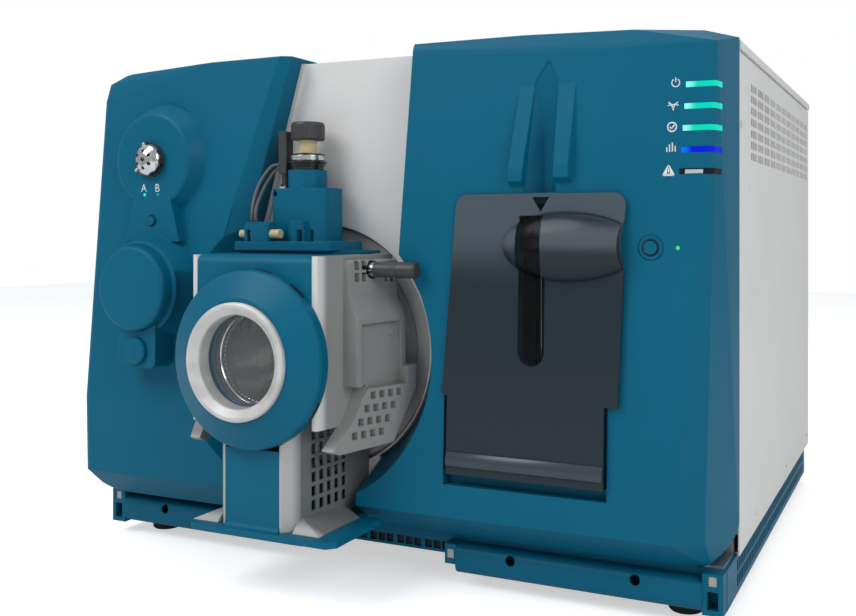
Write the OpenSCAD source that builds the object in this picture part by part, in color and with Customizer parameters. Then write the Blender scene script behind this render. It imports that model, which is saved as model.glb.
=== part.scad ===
// Benchtop mass spectrometer: a wide cabinet with two moulded fascias, a drip tray pedestal,
// an ion source on a round vacuum flange, a syringe pump behind a smoked door, and a
// diverter valve.  Units are millimetres.  X runs to the right, Y to the back and Z up.
// Unless a module says otherwise its numbers are in the cabinet's own place: X = 0 on the
// centre plane, Y = 0 on the front of the skirt and Z = 0 on the lower edge of the skirt.

/* [Cabinet] */
// Width over the two side panels
cab_w = 953; // [900:1:1050]
// Depth from the front of the skirt to the rear panel
cab_d = 753; // [700:1:850]
// Height of the lid's top above the lower edge of the skirt
cab_h = 689; // [670:1:720]
// Height of the skirt
skirt_h = 49; // [44:1:56]
// Clear height under the skirt, given by the feet
foot_h = 18; // [12:1:30]
// Height of the lid
lid_h = 14.5; // [12:0.5:20]
// Sheet metal thickness of panels
sheet = 2; // [1.5:0.5:3]

/* [Fascias] */
// Depth from the skirt's front to the joint with the side panels
joint_y = 57; // [50:1:70]
// Distance that the upper edge of the face stands ahead of the skirt
face_top = 46; // [40:1:55]
// Distance that the lower edge of the face stands ahead of the skirt
face_low = 66; // [56:1:80]
// Extra forward bow at the cabinet's centre
face_bow = 5; // [2:0.5:8]
// Wall of the moulded fascias
fascia_t = 4; // [3:0.5:5]
// Thickness of the floor plate that the fascias stand on
floor_t = 3; // [2.5:0.5:5]
// Rise of the fascias' crowned tops above the lid
crown_rise = 4; // [0:1:6]
// Radius of the round cut-out at the front of the fascias
cut_r_front = 203; // [196:1:210]

/* [Ion source] */
// Source axis to the cabinet's centre plane, towards the left
src_off = 90.5; // [80:0.5:100]
// Height of the source axis above the lower edge of the skirt
src_z = 288.5; // [280:0.5:300]
// Radius of the vacuum flange
flange_r = 168; // [160:1:175]
// Half width of the teal source cover
cover_half = 89; // [84:1:94]
// Distance from the skirt's front to the source cover's face
cover_reach = 163; // [150:1:180]
// Height of the source cover's top above the source axis
cover_top = 131.5; // [126:0.5:140]
// Radius of the round bezel on the source
bezel_r = 113; // [108:1:118]
// Depth of the bezel
bezel_t = 19; // [16:1:24]
// Outer radius of the window ring
ring_r = 74; // [70:0.5:78]
// Clear radius of the window
window_r = 58; // [52:0.5:60]
// Depth of the window ring
ring_t = 21; // [16:1:26]

/* [Pump door] */
// Width of the door's upper part at its top edge
door_w = 220; // [200:1:230]
// Width of the door's narrow lower part
door_low_w = 206; // [190:1:208]
// Thickness of the smoked door
door_t = 4; // [3:0.5:5]
// Radius of the door's hinge pins
door_pin_r = 2.5; // [2:0.25:3]

/* [Valve and buttons] */
// Radius of the polished valve stator
stator_r = 22; // [19:0.5:24]
// Radius of the large round valve cover
cover_disc_r = 60; // [54:1:62]
// Radius of the pump button's cap
pump_cap_r = 8; // [7:0.5:9]
// Radius of the valve button's cap
valve_cap_r = 6.4; // [5.5:0.1:7]
// Travel of both push buttons
button_travel = 2; // [1.5:0.25:2.5]

/* [Clearances] */
// Radial clearance of running fits
run_gap = 0.05; // [0.02:0.01:0.08]
// Clearance round parts that move freely
free_gap = 0.5; // [0.4:0.1:1]

/* [Hidden] */
$fn = 64;
slab = 0.02;
half_w = cab_w / 2;
rear_out = 8;
window_front = cover_reach + bezel_t + ring_t;
skirt_y = (window_front - cab_d - rear_out) / 2;
src_x = -src_off;
axis_z = src_z;
panel_top = cab_h - lid_h;
panel_back = cab_d;
skirt_back = cab_d - 26;
skirt_in = 4;
fascia_low_z = skirt_h + floor_t;
bulk_t = 3;
bulk_back = joint_y + bulk_t;
centre_face = -8;
flange_face = 2;
pale = "#C9CACA";
teal = "#17607F";
dark = "#2C2E30";

// ---------- placing and basic solids ----------
module in_cabinet() translate([0, skirt_y, foot_h]) children();

// Cylinder along Y from y0 to y1
module ycyl(x, z, y0, y1, r) translate([x, y1, z]) rotate([90, 0, 0]) cylinder(r = r, h = y1 - y0);

// Turned piece on an axis along Y; profile points are [radius, distance ahead of y]
module turned(x, y, z, points) {
  translate([x, y, z]) rotate([90, 0, 0]) rotate_extrude($fn = 96) polygon(points);
}

// Profile drawn in Y and Z, extruded along X from x0 to x1
module along_x(x0, x1) translate([x0, 0, 0]) rotate([90, 0, 90]) linear_extrude(x1 - x0) children();

// Profile drawn in X and Z, extruded along Y from y0 to y1
module along_y(y0, y1) translate([0, y1, 0]) rotate([90, 0, 0]) linear_extrude(y1 - y0) children();

module block(x0, x1, y0, y1, z0, z1) translate([x0, y0, z0]) cube([x1 - x0, y1 - y0, z1 - z0]);

// Rectangle with round corners between two opposite corners
module round_rect(x0, x1, y0, y1, r) {
  translate([x0 + r, y0]) square([x1 - x0 - 2 * r, y1 - y0]);
  translate([x0, y0 + r]) square([x1 - x0, y1 - y0 - 2 * r]);
  for (x = [x0 + r, x1 - r], y = [y0 + r, y1 - r]) translate([x, y]) circle(r, $fn = 32);
}

// ---------- chassis ----------
side_cell_w = 8;
side_cell_h = 15;
side_cell_pitch = 11.5;
side_cell_rows = [8, 27];
side_cell_first = 62;
side_cell_count = floor((skirt_back - 14 - side_cell_first) / side_cell_pitch);
front_cell = 10.5;
front_cell_pitch = 13;
front_group_pitch = 43;
rail_in = 124;
rail_out = half_w - 29.5;
front_rise = 20;

module skirt_side_cells() {
  for (i = [0:side_cell_count - 1], z = side_cell_rows)
    translate([side_cell_first + i * side_cell_pitch, z]) square([side_cell_w, side_cell_h]);
}

module skirt_front_cells() {
  for (g = [-2:2], c = [-1:1])
    translate([g * front_group_pitch + c * front_cell_pitch - front_cell / 2, 24])
      square([front_cell, front_cell]);
}

module skirt_side_wall() {
  along_x(half_w - skirt_in - sheet, half_w - skirt_in) difference() {
    square([skirt_back, skirt_h]);
    skirt_side_cells();
  }
}

module base_skirt() color(teal) in_cabinet() {
  skirt_side_wall();
  mirror([1, 0, 0]) skirt_side_wall();
  side_inner = half_w - skirt_in - sheet;
  along_y(0, sheet) difference() {
    translate([-side_inner, 0]) square([2 * side_inner, skirt_h]);
    translate([-rail_in, -1]) square([2 * rail_in, front_rise + 1]);
    skirt_front_cells();
  }
  block(-side_inner, side_inner, skirt_back - sheet, skirt_back, 0, skirt_h);
  block(-side_inner, side_inner, sheet, skirt_back - sheet, skirt_h - sheet, skirt_h);
}

floor_top = skirt_h + floor_t;
floor_in = 8;

module chassis_base() color("#B9BCBE") in_cabinet() {
  w = half_w - floor_in;
  block(-w, w, sheet, cab_d - sheet, skirt_h, floor_top);
  for (s = [-1, 1]) block(s * w - (s > 0 ? sheet : 0), s * w + (s < 0 ? sheet : 0),
    bulk_back + 4, cab_d - sheet, floor_top, floor_top + 20);
}

interface_r = 62;

module front_bulkhead() color("#B9BCBE") in_cabinet() {
  w = half_w - floor_in;
  along_y(joint_y, bulk_back) difference() {
    translate([-w, floor_top]) square([2 * w, panel_top - 10 - floor_top]);
    translate([src_x, axis_z]) circle(interface_r);
  }
}

// ---------- side panels, lid and rear ----------
vent_first = 139;
vent_pitch = 55;
vent_groups = floor((cab_d - 19 - vent_first + 11) / vent_pitch);
vent_cell_w = 12;
vent_cell_h = 10;
vent_row = 15;
vent_top = 642.5;
vent_rows = 7;
tick_y = 129;
tick_z = [340, 501];

module panel_outline() {
  difference() {
    translate([joint_y, skirt_h]) square([panel_back - joint_y, panel_top - skirt_h - 2.5]);
    for (g = [0:vent_groups - 1], r = [0:vent_rows - 1], c = [0:2])
      translate([vent_first + g * vent_pitch + c * (vent_cell_w + 3.5),
        vent_top - vent_cell_h - r * vent_row]) square([vent_cell_w, vent_cell_h]);
    // two small slots that show the panel's hooks
    for (z = tick_z) translate([tick_y, z]) square([2.5, 12]);
  }
}

module side_panel_right() {
  along_x(half_w - sheet, half_w) panel_outline();
  inner = half_w - sheet;
  // joggled upper flange that carries the lid, then folds at the front, foot and back
  block(inner - 6, inner, joint_y + 6, panel_back - 4, panel_top - 8, panel_top - 4);
  block(inner - 6, inner - 4, joint_y + 6, panel_back - 4, panel_top - 4, panel_top);
  block(inner - 5, inner, bulk_back + 1, bulk_back + 1 + sheet, floor_top + 22, panel_top - 12);
  block(inner - 5, inner, bulk_back + 4, panel_back - sheet - 1, skirt_h, skirt_h + sheet);
}

module right_panel() color(pale) in_cabinet() side_panel_right();
module left_panel() color(pale) in_cabinet() mirror([1, 0, 0]) side_panel_right();

lid_over = 2;
lid_round = 7;
lid_t = 3;
lid_lip = 11;

module lid_section(inset, base) {
  w = half_w + lid_over - inset;
  r = lid_round - inset / 2;
  top = cab_h - inset;
  translate([-w, base]) square([2 * w, top - r - base]);
  translate([-w + r, top - r - 1]) square([2 * (w - r), r + 1]);
  for (s = [-1, 1]) translate([s * (w - r), top - r]) circle(r, $fn = 48);
}

module lid() color(pale) in_cabinet() difference() {
  along_y(joint_y, cab_d) lid_section(0, panel_top);
  along_y(joint_y + lid_t, cab_d - lid_t) lid_section(lid_t, panel_top + lid_t);
  // opening left inside the folded lip that rests on the side panels
  block(-half_w + lid_lip, half_w - lid_lip, joint_y + lid_lip, cab_d - lid_lip, panel_top - 1,
    panel_top + lid_t + 1);
}

fan_r = 58;
fan_x = [-250, -95];
fan_z = 470;
fan_pin_r = 3;
grille_x = [60, -420];
inlet_x = [302, 350];
inlet_z = [116, 143];
port_x = 160;
port_z = [240, 320];
port_r = 21;
exhaust_x = -430;
exhaust_z = 300;
exhaust_r = 36;
socket_x = 252;
socket_pitch = 38;

module fan_grille() {
  for (r = [fan_r - 4:-12:14]) difference() {
    circle(r);
    circle(r - 8);
    for (a = [0:45:135]) rotate(a) square([2 * fan_r, 5], center = true);
  }
}

module rear_panel() color(pale) in_cabinet() {
  w = half_w - sheet - 0.5;
  out = cab_d + rear_out;
  along_y(cab_d - sheet, cab_d) difference() {
    translate([-w, fascia_low_z]) square([2 * w, panel_top - 0.5 - fascia_low_z]);
    for (x = fan_x) translate([x, fan_z]) fan_grille();
    for (i = [0:17], j = [0:3]) translate([grille_x[0] + i * 21, 540 + j * 26]) square([13, 16]);
    for (i = [0:13], j = [0:2]) translate([grille_x[1] + i * 21, 110 + j * 26]) square([13, 16]);
    // cut-outs for the mains inlet, the mains switch, two vacuum ports and a row of sockets
    translate([inlet_x[0], inlet_z[0]]) square([inlet_x[1] - inlet_x[0], inlet_z[1] - inlet_z[0]]);
    translate([switch_x - well_w, switch_z - well_h]) square([2 * well_w, 2 * well_h]);
    for (z = port_z) translate([port_x, z]) circle(port_r);
    for (i = [0:4]) translate([socket_x + i * socket_pitch, 300]) round_rect(0, 26, 0, 14, 2);
    translate([exhaust_x, exhaust_z]) circle(exhaust_r);
  }
  // the inlet's moulded body, the two vacuum ports and the exhaust port
  difference() {
    block(inlet_x[0], inlet_x[1], cab_d - 34, cab_d + 3, inlet_z[0], inlet_z[1]);
    block(inlet_x[0] + 4, inlet_x[1] - 4, cab_d - 20, cab_d + 4, inlet_z[0] + 4, inlet_z[1] - 4);
  }
  for (z = port_z) difference() {
    ycyl(port_x, z, cab_d - 30, out, port_r);
    ycyl(port_x, z, cab_d - 20, out + 1, port_r - 4.5);
  }
  difference() {
    ycyl(exhaust_x, exhaust_z, cab_d - 6, out, exhaust_r);
    ycyl(exhaust_x, exhaust_z, cab_d - 7, out + 1, exhaust_r - 5);
  }
  // the switch's well, bored for the rocker's pins
  difference() {
    block(switch_x - well_w, switch_x + well_w, cab_d - 26, cab_d + 2, switch_z - well_h,
      switch_z + well_h);
    block(switch_x - rocker_w - free_gap, switch_x + rocker_w + free_gap, cab_d - 22, cab_d + 3,
      switch_z - well_h + 2.4, switch_z + well_h - 2.4);
    rocker_pins(rocker_pin_r + run_gap, rocker_w + 2.2);
  }
  // pin in the middle of each fan grille
  for (x = fan_x) ycyl(x, fan_z, cab_d - 26, cab_d - sheet, fan_pin_r);
}

fan_blades = 7;
fan_t = 16;

module fan_rotor(x) translate([x, cab_d - 6, fan_z]) rotate([90, 0, 0]) difference() {
  union() {
    cylinder(r = 19, h = fan_t);
    for (i = [0:fan_blades - 1]) rotate(i * 360 / fan_blades) translate([17, -1.25, 0])
      rotate([38, 0, 0]) cube([fan_r - 22, 1.8, fan_t + 1]);
  }
  translate([0, 0, -1]) cylinder(r = fan_pin_r + run_gap, h = fan_t + 3);
  // trims the blades' tips to a circle
  difference() {
    translate([0, 0, -6]) cylinder(r = fan_r + 10, h = 40);
    translate([0, 0, -7]) cylinder(r = fan_r - 6, h = 42);
  }
}

module fan_left() color(dark) in_cabinet() fan_rotor(fan_x[0]);
module fan_right() color(dark) in_cabinet() fan_rotor(fan_x[1]);

switch_x = 385;
switch_z = 129.5;
well_w = 16;
well_h = 13;
rocker_w = 12.8;
rocker_pin_r = 1.5;
rocker_tilt = 8;

module rocker_pins(r, reach) translate([switch_x - reach, cab_d - 6, switch_z]) rotate([0, 90, 0])
  cylinder(r = r, h = 2 * reach, $fn = 32);

// Rocker that turns on its own stub pins in the switch's well; it rests with its lower end proud
module mains_switch() color(dark) in_cabinet() {
  translate([switch_x, cab_d - 6, switch_z]) rotate([-rocker_tilt, 0, 0])
    along_x(-rocker_w, rocker_w) polygon([[8, -9], [6.4, 0], [8, 9], [3, 9], [-4, 5.5], [-4, -5.5],
      [3, -9]]);
  rocker_pins(rocker_pin_r, rocker_w + 2);
}

// ---------- fascia form ----------
// The face leans forward as it goes down, bows towards the centre plane and is bounded by
// creases: upper and lower chamfers and an outer facet that widens downwards.
crease_hi = 668;
crease_lo = 90;
crease_hi_in = 6;
crease_lo_in = 55;
facet_hi_in = 4;
facet_lo_in = 22;
edge_lt = -123.5;
edge_ll = -199.5;
edge_lz = 429;
edge_rt = 77.5;
edge_rl = 60.5;
edge_rz = 409;
foot_gap_half = 93;
corner_r = 42;
lean = atan((face_low - face_top) / (crease_hi - crease_lo));

function crease_x(z) = half_w - crease_hi_in
  - (crease_lo_in - crease_hi_in) * (crease_hi - z) / (crease_hi - crease_lo);
function face_y(x, z) = -face_top - (face_low - face_top) * (crease_hi - z) / (crease_hi - crease_lo)
  - face_bow * (1 - pow(x / crease_x(z), 2));

// Plan outline at one level: t is the inset, sx and sy the facet's outer edge, cx and cy its crease
function plan(t, sx, sy, cx, cy, bow) = concat(
  [[-half_w + t, joint_y + t], [-sx + t, sy + t / 2], [-cx + t / 2, cy + t]],
  [for (i = [-3:3]) [(cx - t / 2) * i / 4, cy + t - bow * (1 - i * i / 16)]],
  [[cx - t / 2, cy + t], [sx - t, sy + t / 2], [half_w - t, joint_y + t]]);

// Slanted inner edges of the two fascias above the ion source
function left_edge(z) = edge_ll + (edge_lt - edge_ll) * (z - edge_lz) / (cab_h - edge_lz);
function right_edge(z) = edge_rl + (edge_rt - edge_rl) * (z - edge_rz) / (cab_h - edge_rz);

module level(z, points) translate([0, 0, z]) linear_extrude(slab) polygon(points);

// Right form: its top is crowned and falls away towards the outer corner
module right_form(t) hull() {
  level(cab_h + crown_rise - t - slab, [[0, 20], [0, 3 - face_top - face_bow + t],
    [half_w - 246, 2 - face_top + t], [half_w - 176, 20]]);
  level(cab_h - t - slab, [[0, joint_y + t], [0, t - face_top - face_bow],
    [half_w - 106, 4 - face_top + t], [half_w - 30 - t, t - 4], [half_w - t, joint_y + t]]);
  level(crease_hi - t / 2, plan(t, half_w - facet_hi_in, -22, half_w - crease_hi_in,
    -face_top, face_bow));
  level(crease_lo + t / 2, plan(t, half_w - facet_lo_in, -face_low + 28, half_w - crease_lo_in,
    -face_low, face_bow));
  level(fascia_low_z + t, plan(t, half_w - facet_lo_in, -6, half_w - crease_lo_in - 4, -14, face_bow / 2));
}

// Plan outline of the left form: its outer edge is rounded and stands e further in, its face lies
// at y on the outer edge and at cy on the centre plane
function left_plan(t, e, y, cy, r) = [[0, joint_y + t], [-half_w + t, joint_y + t],
  [-half_w + e + t, y + r], [-half_w + e + t + r * 0.3, y + r * 0.3 + t],
  [-half_w + e + r + t / 2, y + t], [0, cy + t]];

left_top_y = -34;
left_low_y = -72;
left_knee = 200;

// Left form: it has no outer facet, and its outer edge leans more than its inner edge
module left_form(t) hull() {
  level(cab_h + crown_rise - t - slab, [[0, 20], [0, 3 - face_top - face_bow + t],
    [-half_w + 216, 4 - face_top + t], [-half_w + 146, 20]]);
  level(cab_h - t - slab, left_plan(t, 20, left_top_y + 10, -face_top - face_bow, 30));
  level(cab_h - 14 - t / 2, left_plan(t, 3, left_top_y + 5, -face_top - face_bow, 12));
  level(crease_hi - 20, left_plan(t, 0, left_top_y, 1 - face_top - face_bow, 10));
  level(left_knee, left_plan(t, 0, left_low_y, -face_low - face_bow, 8));
  level(crease_lo + t / 2, left_plan(t, 0, left_low_y + 2, 2 - face_low - face_bow, 8));
  level(fascia_low_z + t, left_plan(t, 6, left_low_y + 38, -32, 8));
}

// Round cut-out that narrows from the face back to the vacuum flange; t is the wall kept round it
module flange_cut(t) {
  back = joint_y + 6;
  turned(src_x, back, axis_z, [[0, 0], [flange_r + 6 + t, 0], [flange_r + 6 + t, back],
    [cut_r_front + t, back + face_low],
    [cut_r_front + t + (cut_r_front - flange_r - 6) * 30 / face_low, back + face_low + 30],
    [0, back + face_low + 30]]);
}

// Front view outlines, inset by t on the edges next to the centre panel
module left_outline(t) {
  inner = src_x - foot_gap_half - t;
  difference() {
    polygon([[-half_w - 1, fascia_low_z - 1], [inner, fascia_low_z - 1], [inner, axis_z],
      [edge_ll - t, edge_lz], [left_edge(cab_h + 11) - t, cab_h + 11], [-half_w - 1, cab_h + 11]]);
    outer_corner_cut(-1, t);
  }
}

module right_outline(t) {
  inner = src_x + foot_gap_half + t;
  difference() {
    polygon([[half_w + 1, fascia_low_z - 1], [inner, fascia_low_z - 1], [inner, axis_z],
      [edge_rl + t, edge_rz], [right_edge(cab_h + 11) + t, cab_h + 11], [half_w + 1, cab_h + 11]]);
    outer_corner_cut(1, t);
  }
}

// Rounds the lower outer corner of a fascia in the front view
module outer_corner_cut(side, t) {
  translate([side * (half_w - corner_r), fascia_low_z + corner_r]) difference() {
    translate([side > 0 ? 0 : -corner_r - 2, -corner_r - 2]) square(corner_r + 2);
    circle(corner_r - t, $fn = 64);
  }
}

// ---------- centre panel ----------
centre_top = cab_h - 3;
centre_t = 3;
hem = 5;

module centre_outline(g) {
  foot = [src_x - foot_gap_half + g, src_x + foot_gap_half - g];
  polygon([[edge_ll + g, edge_lz], [left_edge(centre_top) + g, centre_top],
    [right_edge(centre_top) - g, centre_top], [edge_rl - g, edge_rz], [foot[1], axis_z],
    [foot[1], fascia_low_z], [foot[0], fascia_low_z], [foot[0], axis_z]]);
}

module centre_panel() color("#D3D4D5") in_cabinet() {
  difference() {
    union() {
      along_y(centre_face, centre_face + centre_t) centre_outline(free_gap);
      // fold along the top, back to the lid
      intersection() {
        along_y(centre_face, joint_y) centre_outline(free_gap);
        block(-half_w, half_w, centre_face, joint_y, centre_top - 3, centre_top);
      }
      // raised strip beside the left fascia's slanted edge
      along_y(centre_face - hem, centre_face) polygon([[left_edge(edge_lz) + free_gap, edge_lz],
        [left_edge(centre_top) + free_gap, centre_top], [left_edge(centre_top) + 7, centre_top],
        [left_edge(edge_lz) + 7, edge_lz]]);
      ycyl(src_x, axis_z, centre_face, centre_face + 18, flange_r + 4.5);
    }
    ycyl(src_x, axis_z, centre_face - 10, centre_face + 20, flange_r + 2);
  }
  // stays that tie the panel to the bulkhead
  for (x = [-60, 40]) block(x, x + 12, centre_face + centre_t, joint_y, 560, 566);
  for (x = [src_x - 60, src_x + 48]) block(x, x + 12, centre_face + centre_t, joint_y, 76, 82);
}

// ---------- left fascia ----------
column_x = -342;
upper_z = 552;
lower_z = 368;
plug_z = 279;
boss_y = -74;
collar_y = -100;
plug_face_y = -104;
valve_button_z = 464;
lamp_z = 502;
lamp_x = [column_x - 13, column_x + 12];
lamp_r = 2.2;
stator_front = -93;
valve_ring_front = -80;
valve_body_r = stator_r - 2;
boss_back = -46;
fit_gap = 0.1;
spigot_r = 18;
spigot_back = collar_y + 13;
plug_r = 8;
plug_back = plug_face_y + 18;

module left_fascia() color(teal) in_cabinet() difference() {
  union() {
    difference() {
      intersection() {
        left_form(0);
        along_y(-120, joint_y) left_outline(0);
      }
      intersection() {
        left_form(fascia_t);
        along_y(-120, joint_y + 9) left_outline(fascia_t);
        difference() {
          block(-half_w, 0, -120, joint_y + 9, 0, cab_h);
          flange_cut(fascia_t);
          edge_chamfer(fascia_t);
        }
      }
    }
    left_bosses();
  }
  flange_cut(0);
  edge_chamfer(0);
  ycyl(column_x, upper_z, -90, -20, valve_body_r + fit_gap);
  for (x = lamp_x) ycyl(x, lamp_z, -90, -20, lamp_r + fit_gap);
  ycyl(column_x, valve_button_z, -90, -20, valve_cap_r + free_gap);
  ycyl(column_x, valve_button_z, boss_y - 1, boss_y + 0.8, valve_cap_r + 2.4);
  ycyl(column_x, lower_z, collar_y - 20, spigot_back + 1, spigot_r + fit_gap);
  ycyl(column_x, plug_z, plug_face_y - 10, plug_back + 1, plug_r + fit_gap);
}

// Keyhole shaped raised area that carries the valve, the lamps, the button and the covers
module left_bosses() {
  turned(column_x, boss_back, upper_z, [[0, 0], [84, 0], [83, 3], [80, 8], [68, boss_back - boss_y - 2],
    [64, boss_back - boss_y], [0, boss_back - boss_y]]);
  along_y(boss_y, boss_back) polygon([[column_x - 32, 506], [column_x + 32, 506],
    [column_x + 51, 434], [column_x - 51, 434]]);
  turned(column_x, boss_back, lower_z, [[0, 0], [81, 0], [80, 14], [76, 26],
    [cover_disc_r + 7, boss_back - collar_y - 2], [cover_disc_r + 5, boss_back - collar_y],
    [0, boss_back - collar_y]]);
  along_y(plug_face_y, boss_back) difference() {
    round_rect(column_x - 35, column_x + 35, plug_z - 24, plug_z + 60, 10);
    translate([column_x, lower_z]) circle(cover_disc_r + 0.5, $fn = 96);
  }
}

// Broad chamfer along the slanted inner edge, shifted t into the wall
chamfer_w = 25;
chamfer_d = 14.5;

module edge_chamfer(t) {
  slant = atan((edge_lt - edge_ll) / (cab_h - edge_lz));
  tilt = atan(chamfer_d / chamfer_w);
  front = -95;
  face = -51.5;
  translate([edge_lt, 0, cab_h]) rotate([-lean, slant, 0]) translate([0, 0, -460])
    linear_extrude(520) translate([-t * sin(tilt), t * cos(tilt)])
      polygon([[1 - chamfer_w, front], [1 - chamfer_w, face], [1, face + chamfer_d],
        [40, face + chamfer_d], [40, front]]);
}

module valve_stator() color("#C4C6C8") in_cabinet() difference() {
  dome = valve_ring_front - stator_front;
  turned(column_x, valve_ring_front, upper_z, [[0, 0], [stator_r, 0], [stator_r, dome * 0.3],
    [stator_r - 1.5, dome * 0.45], [stator_r - 9, dome * 0.88], [stator_r - 13, dome], [0, dome]]);
  for (a = [0:60:300]) translate([column_x, stator_front, upper_z]) rotate([0, a + 30, 0])
    translate([12, 0, 0]) rotate([90, 0, 0]) {
      translate([0, 0, -11]) cylinder(r = 1, h = 12, $fn = 24);
      translate([0, 0, -5]) cylinder(r = 2.6, h = 6, $fn = 32);
    }
  ycyl(column_x, upper_z, stator_front - 1, stator_front + 6, 3.6);
  for (a = [0:120:240]) translate([column_x, stator_front, upper_z]) rotate([0, a, 0])
    translate([17, 0, 0]) rotate([90, 0, 0]) translate([0, 0, -9]) cylinder(r = 1.8, h = 10, $fn = 24);
}

rotor_r = 13;
rotor_shaft_r = 5;
rotor_back = -66.3;
valve_body_back = -14;

// Black ring of the valve with the body behind it, bored for the rotor and its shaft
module valve_ring() color(dark) in_cabinet() difference() {
  union() {
    ycyl(column_x, upper_z, valve_ring_front, boss_y, stator_r + 2.5);
    ycyl(column_x, upper_z, boss_y, valve_body_back, valve_body_r);
  }
  ycyl(column_x, upper_z, valve_ring_front - 1, rotor_back + 0.3, rotor_r + run_gap);
  ycyl(column_x, upper_z, rotor_back - 1, valve_body_back - 6, rotor_shaft_r + run_gap);
}

module valve_rotor() color("#B8A98A") in_cabinet() {
  difference() {
    ycyl(column_x, upper_z, valve_ring_front + 0.3, rotor_back, rotor_r);
    for (a = [0, 120, 240]) translate([column_x, valve_ring_front, upper_z]) rotate([0, a, 0])
      translate([7, -1, -1]) cube([4, 2, 4]);
  }
  ycyl(column_x, upper_z, rotor_back - 1, valve_body_back - 7, rotor_shaft_r);
}

// Two clear lamp pins on one bridge behind the boss
module valve_light_guide() color("#BFE8DC") in_cabinet() {
  for (x = lamp_x) ycyl(x, lamp_z, boss_y - 0.4, boss_back + 2, lamp_r);
  block(lamp_x[0] - 4, lamp_x[1] + 4, boss_back, boss_back + 4, lamp_z - 4, lamp_z + 4);
}

module valve_button() color(teal) in_cabinet() {
  ycyl(column_x, valve_button_z, boss_y - button_travel - 1.2, boss_back + 2.5, valve_cap_r);
  ycyl(column_x, valve_button_z, boss_back + free_gap, boss_back + 2.5, valve_cap_r + 2.5);
}

// Large round cover with a turned spigot that seats in the fascia's collar
module valve_cover() color(teal) in_cabinet() {
  turned(column_x, collar_y, lower_z, [[0, 0], [cover_disc_r, 0], [cover_disc_r, 12],
    [cover_disc_r - 1.5, 15], [cover_disc_r - 5, 16.5], [0, 18]]);
  ycyl(column_x, lower_z, collar_y - 1, spigot_back, spigot_r);
}

module port_plug() color(teal) in_cabinet() {
  turned(column_x, plug_face_y, plug_z, [[0, 0], [19.5, 0], [19.5, 4], [18, 6], [0, 7]]);
  ycyl(column_x, plug_z, plug_face_y - 1, plug_back, plug_r);
}

// ---------- right fascia ----------
door_low_x = [133.5, 133.5 + door_low_w];
door_high_x = [143.5, 143.5 + door_w];
door_mid_x = [126, 136.5 + door_w];
door_foot = -6;
door_notch = 91;
door_head = 343.5;
hinge_z = 152;
hinge_depth = 7;
hinge_y = face_y(door_mid_x[0], hinge_z) + hinge_depth;
barrel_r = 6;
pocket_gap = 3;
pocket_low = hinge_z - 21;
pocket_high = hinge_z + door_notch + 1;
pocket_x = [door_low_x[0] - pocket_gap, door_low_x[1] + 5];
pocket_back = hinge_y + 10;
slot_x = 247;
slot_half = 17.2;
slot_low = 283;
slot_high = 484;
bulge_x = 295.5;
bulge_z = 434;
bulge_half_w = 93;
bulge_half_h = 42.5;
bulge_proud = 21;
pump_x = 395;
button_z = 431;
ready_x = 427;
ready_r = 2.4;
housing_r = 11.5;
housing_rim = 14.8;
housing_seat = 0.9;
housing_back = -34;
bar_h = 6.4;
bar_pitch = 25.1;
bar_top = cab_h - 69.5;
bar_count = 5;
bar_left = half_w - 41.7;
bar_step = 1.7;

module right_fascia() color(teal) in_cabinet() difference() {
  union() {
    difference() {
      intersection() {
        right_form(0);
        along_y(-120, joint_y) right_outline(0);
      }
      difference() {
        intersection() {
          right_form(fascia_t);
          along_y(-120, joint_y + 9) right_outline(fascia_t);
          difference() {
            block(-95, half_w, -120, joint_y + 9, 0, cab_h);
            flange_cut(fascia_t);
          }
        }
        groove_body(fascia_t);
        pocket_walls();
        block(slot_x - slot_half - 3, slot_x + slot_half + 3, -80, -44, slot_low - 3, slot_high + 3);
      }
    }
    face_pad([[229, 636], [254, 636], [241, 508], [216, 508]]);
    face_pad([[277.5, 636], [302, 636], [298, 512], [273.5, 512]]);
  }
  flange_cut(0);
  groove_body(0);
  block(pocket_x[0], pocket_x[1], -110, pocket_back, pocket_low, pocket_high);
  translate([0, 0, hinge_z]) ycyl_x(pocket_x[0] - 10, pocket_x[1] + 10, door_pin_r + run_gap);
  block(slot_x - slot_half, slot_x + slot_half, -90, -40, slot_low + slot_half, slot_high);
  ycyl(slot_x, slot_low + slot_half, -90, -40, slot_half);
  ycyl(pump_x, button_z, -90, -30, housing_r);
  ycyl(pump_x, button_z, -90, face_y(pump_x, button_z) + housing_seat, housing_rim + fit_gap);
  ycyl(ready_x, button_z, -90, -30, ready_r + fit_gap);
  for (i = [0:bar_count - 1]) bar_window(i, 0.15);
}

// Cylinder along X on the door's hinge line
module ycyl_x(x0, x1, r) translate([x0, hinge_y, 0]) rotate([0, 90, 0]) cylinder(r = r, h = x1 - x0);

// Raised pad: flush with the face at its upper edge and proud at its lower edge
module face_pad(p) {
  top = face_y(p[0][0], p[0][1]);
  low = face_y(p[2][0], p[2][1]);
  hull() {
    along_y(top + 1, top + 2) polygon([p[0], p[1], p[1] - [0, 3], p[0] - [0, 3]]);
    along_y(low + 1, low + 2) polygon([p[2] - [0, 4], p[3] - [0, 4], p[3] + [0, 2], p[2] + [0, 2]]);
    along_y(low - 11, low - 10) polygon([p[2] + [-2, 3], p[3] + [2, 3], p[3] + [2, 18], p[2] + [-2, 18]]);
  }
}

// Boat shaped groove between the pads, from its tip down to the door's upper edge
module groove_body(t) {
  y0 = face_y(257, 500);
  hull() {
    block(264.5 - t, 268.5 + t, -75, face_y(266, 657) + 1 + t, 655, 657 + t);
    block(249 - t, 278.5 + t, -75, face_y(266, 632) + 1 + t, 628, 634);
    block(235 - t, 277 + t, -75, y0 + 2 + t, 497 - t, 500);
    block(256 - t, 267 + t, -75, y0 + 17 + t, 497 - t, 560);
  }
}

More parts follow.
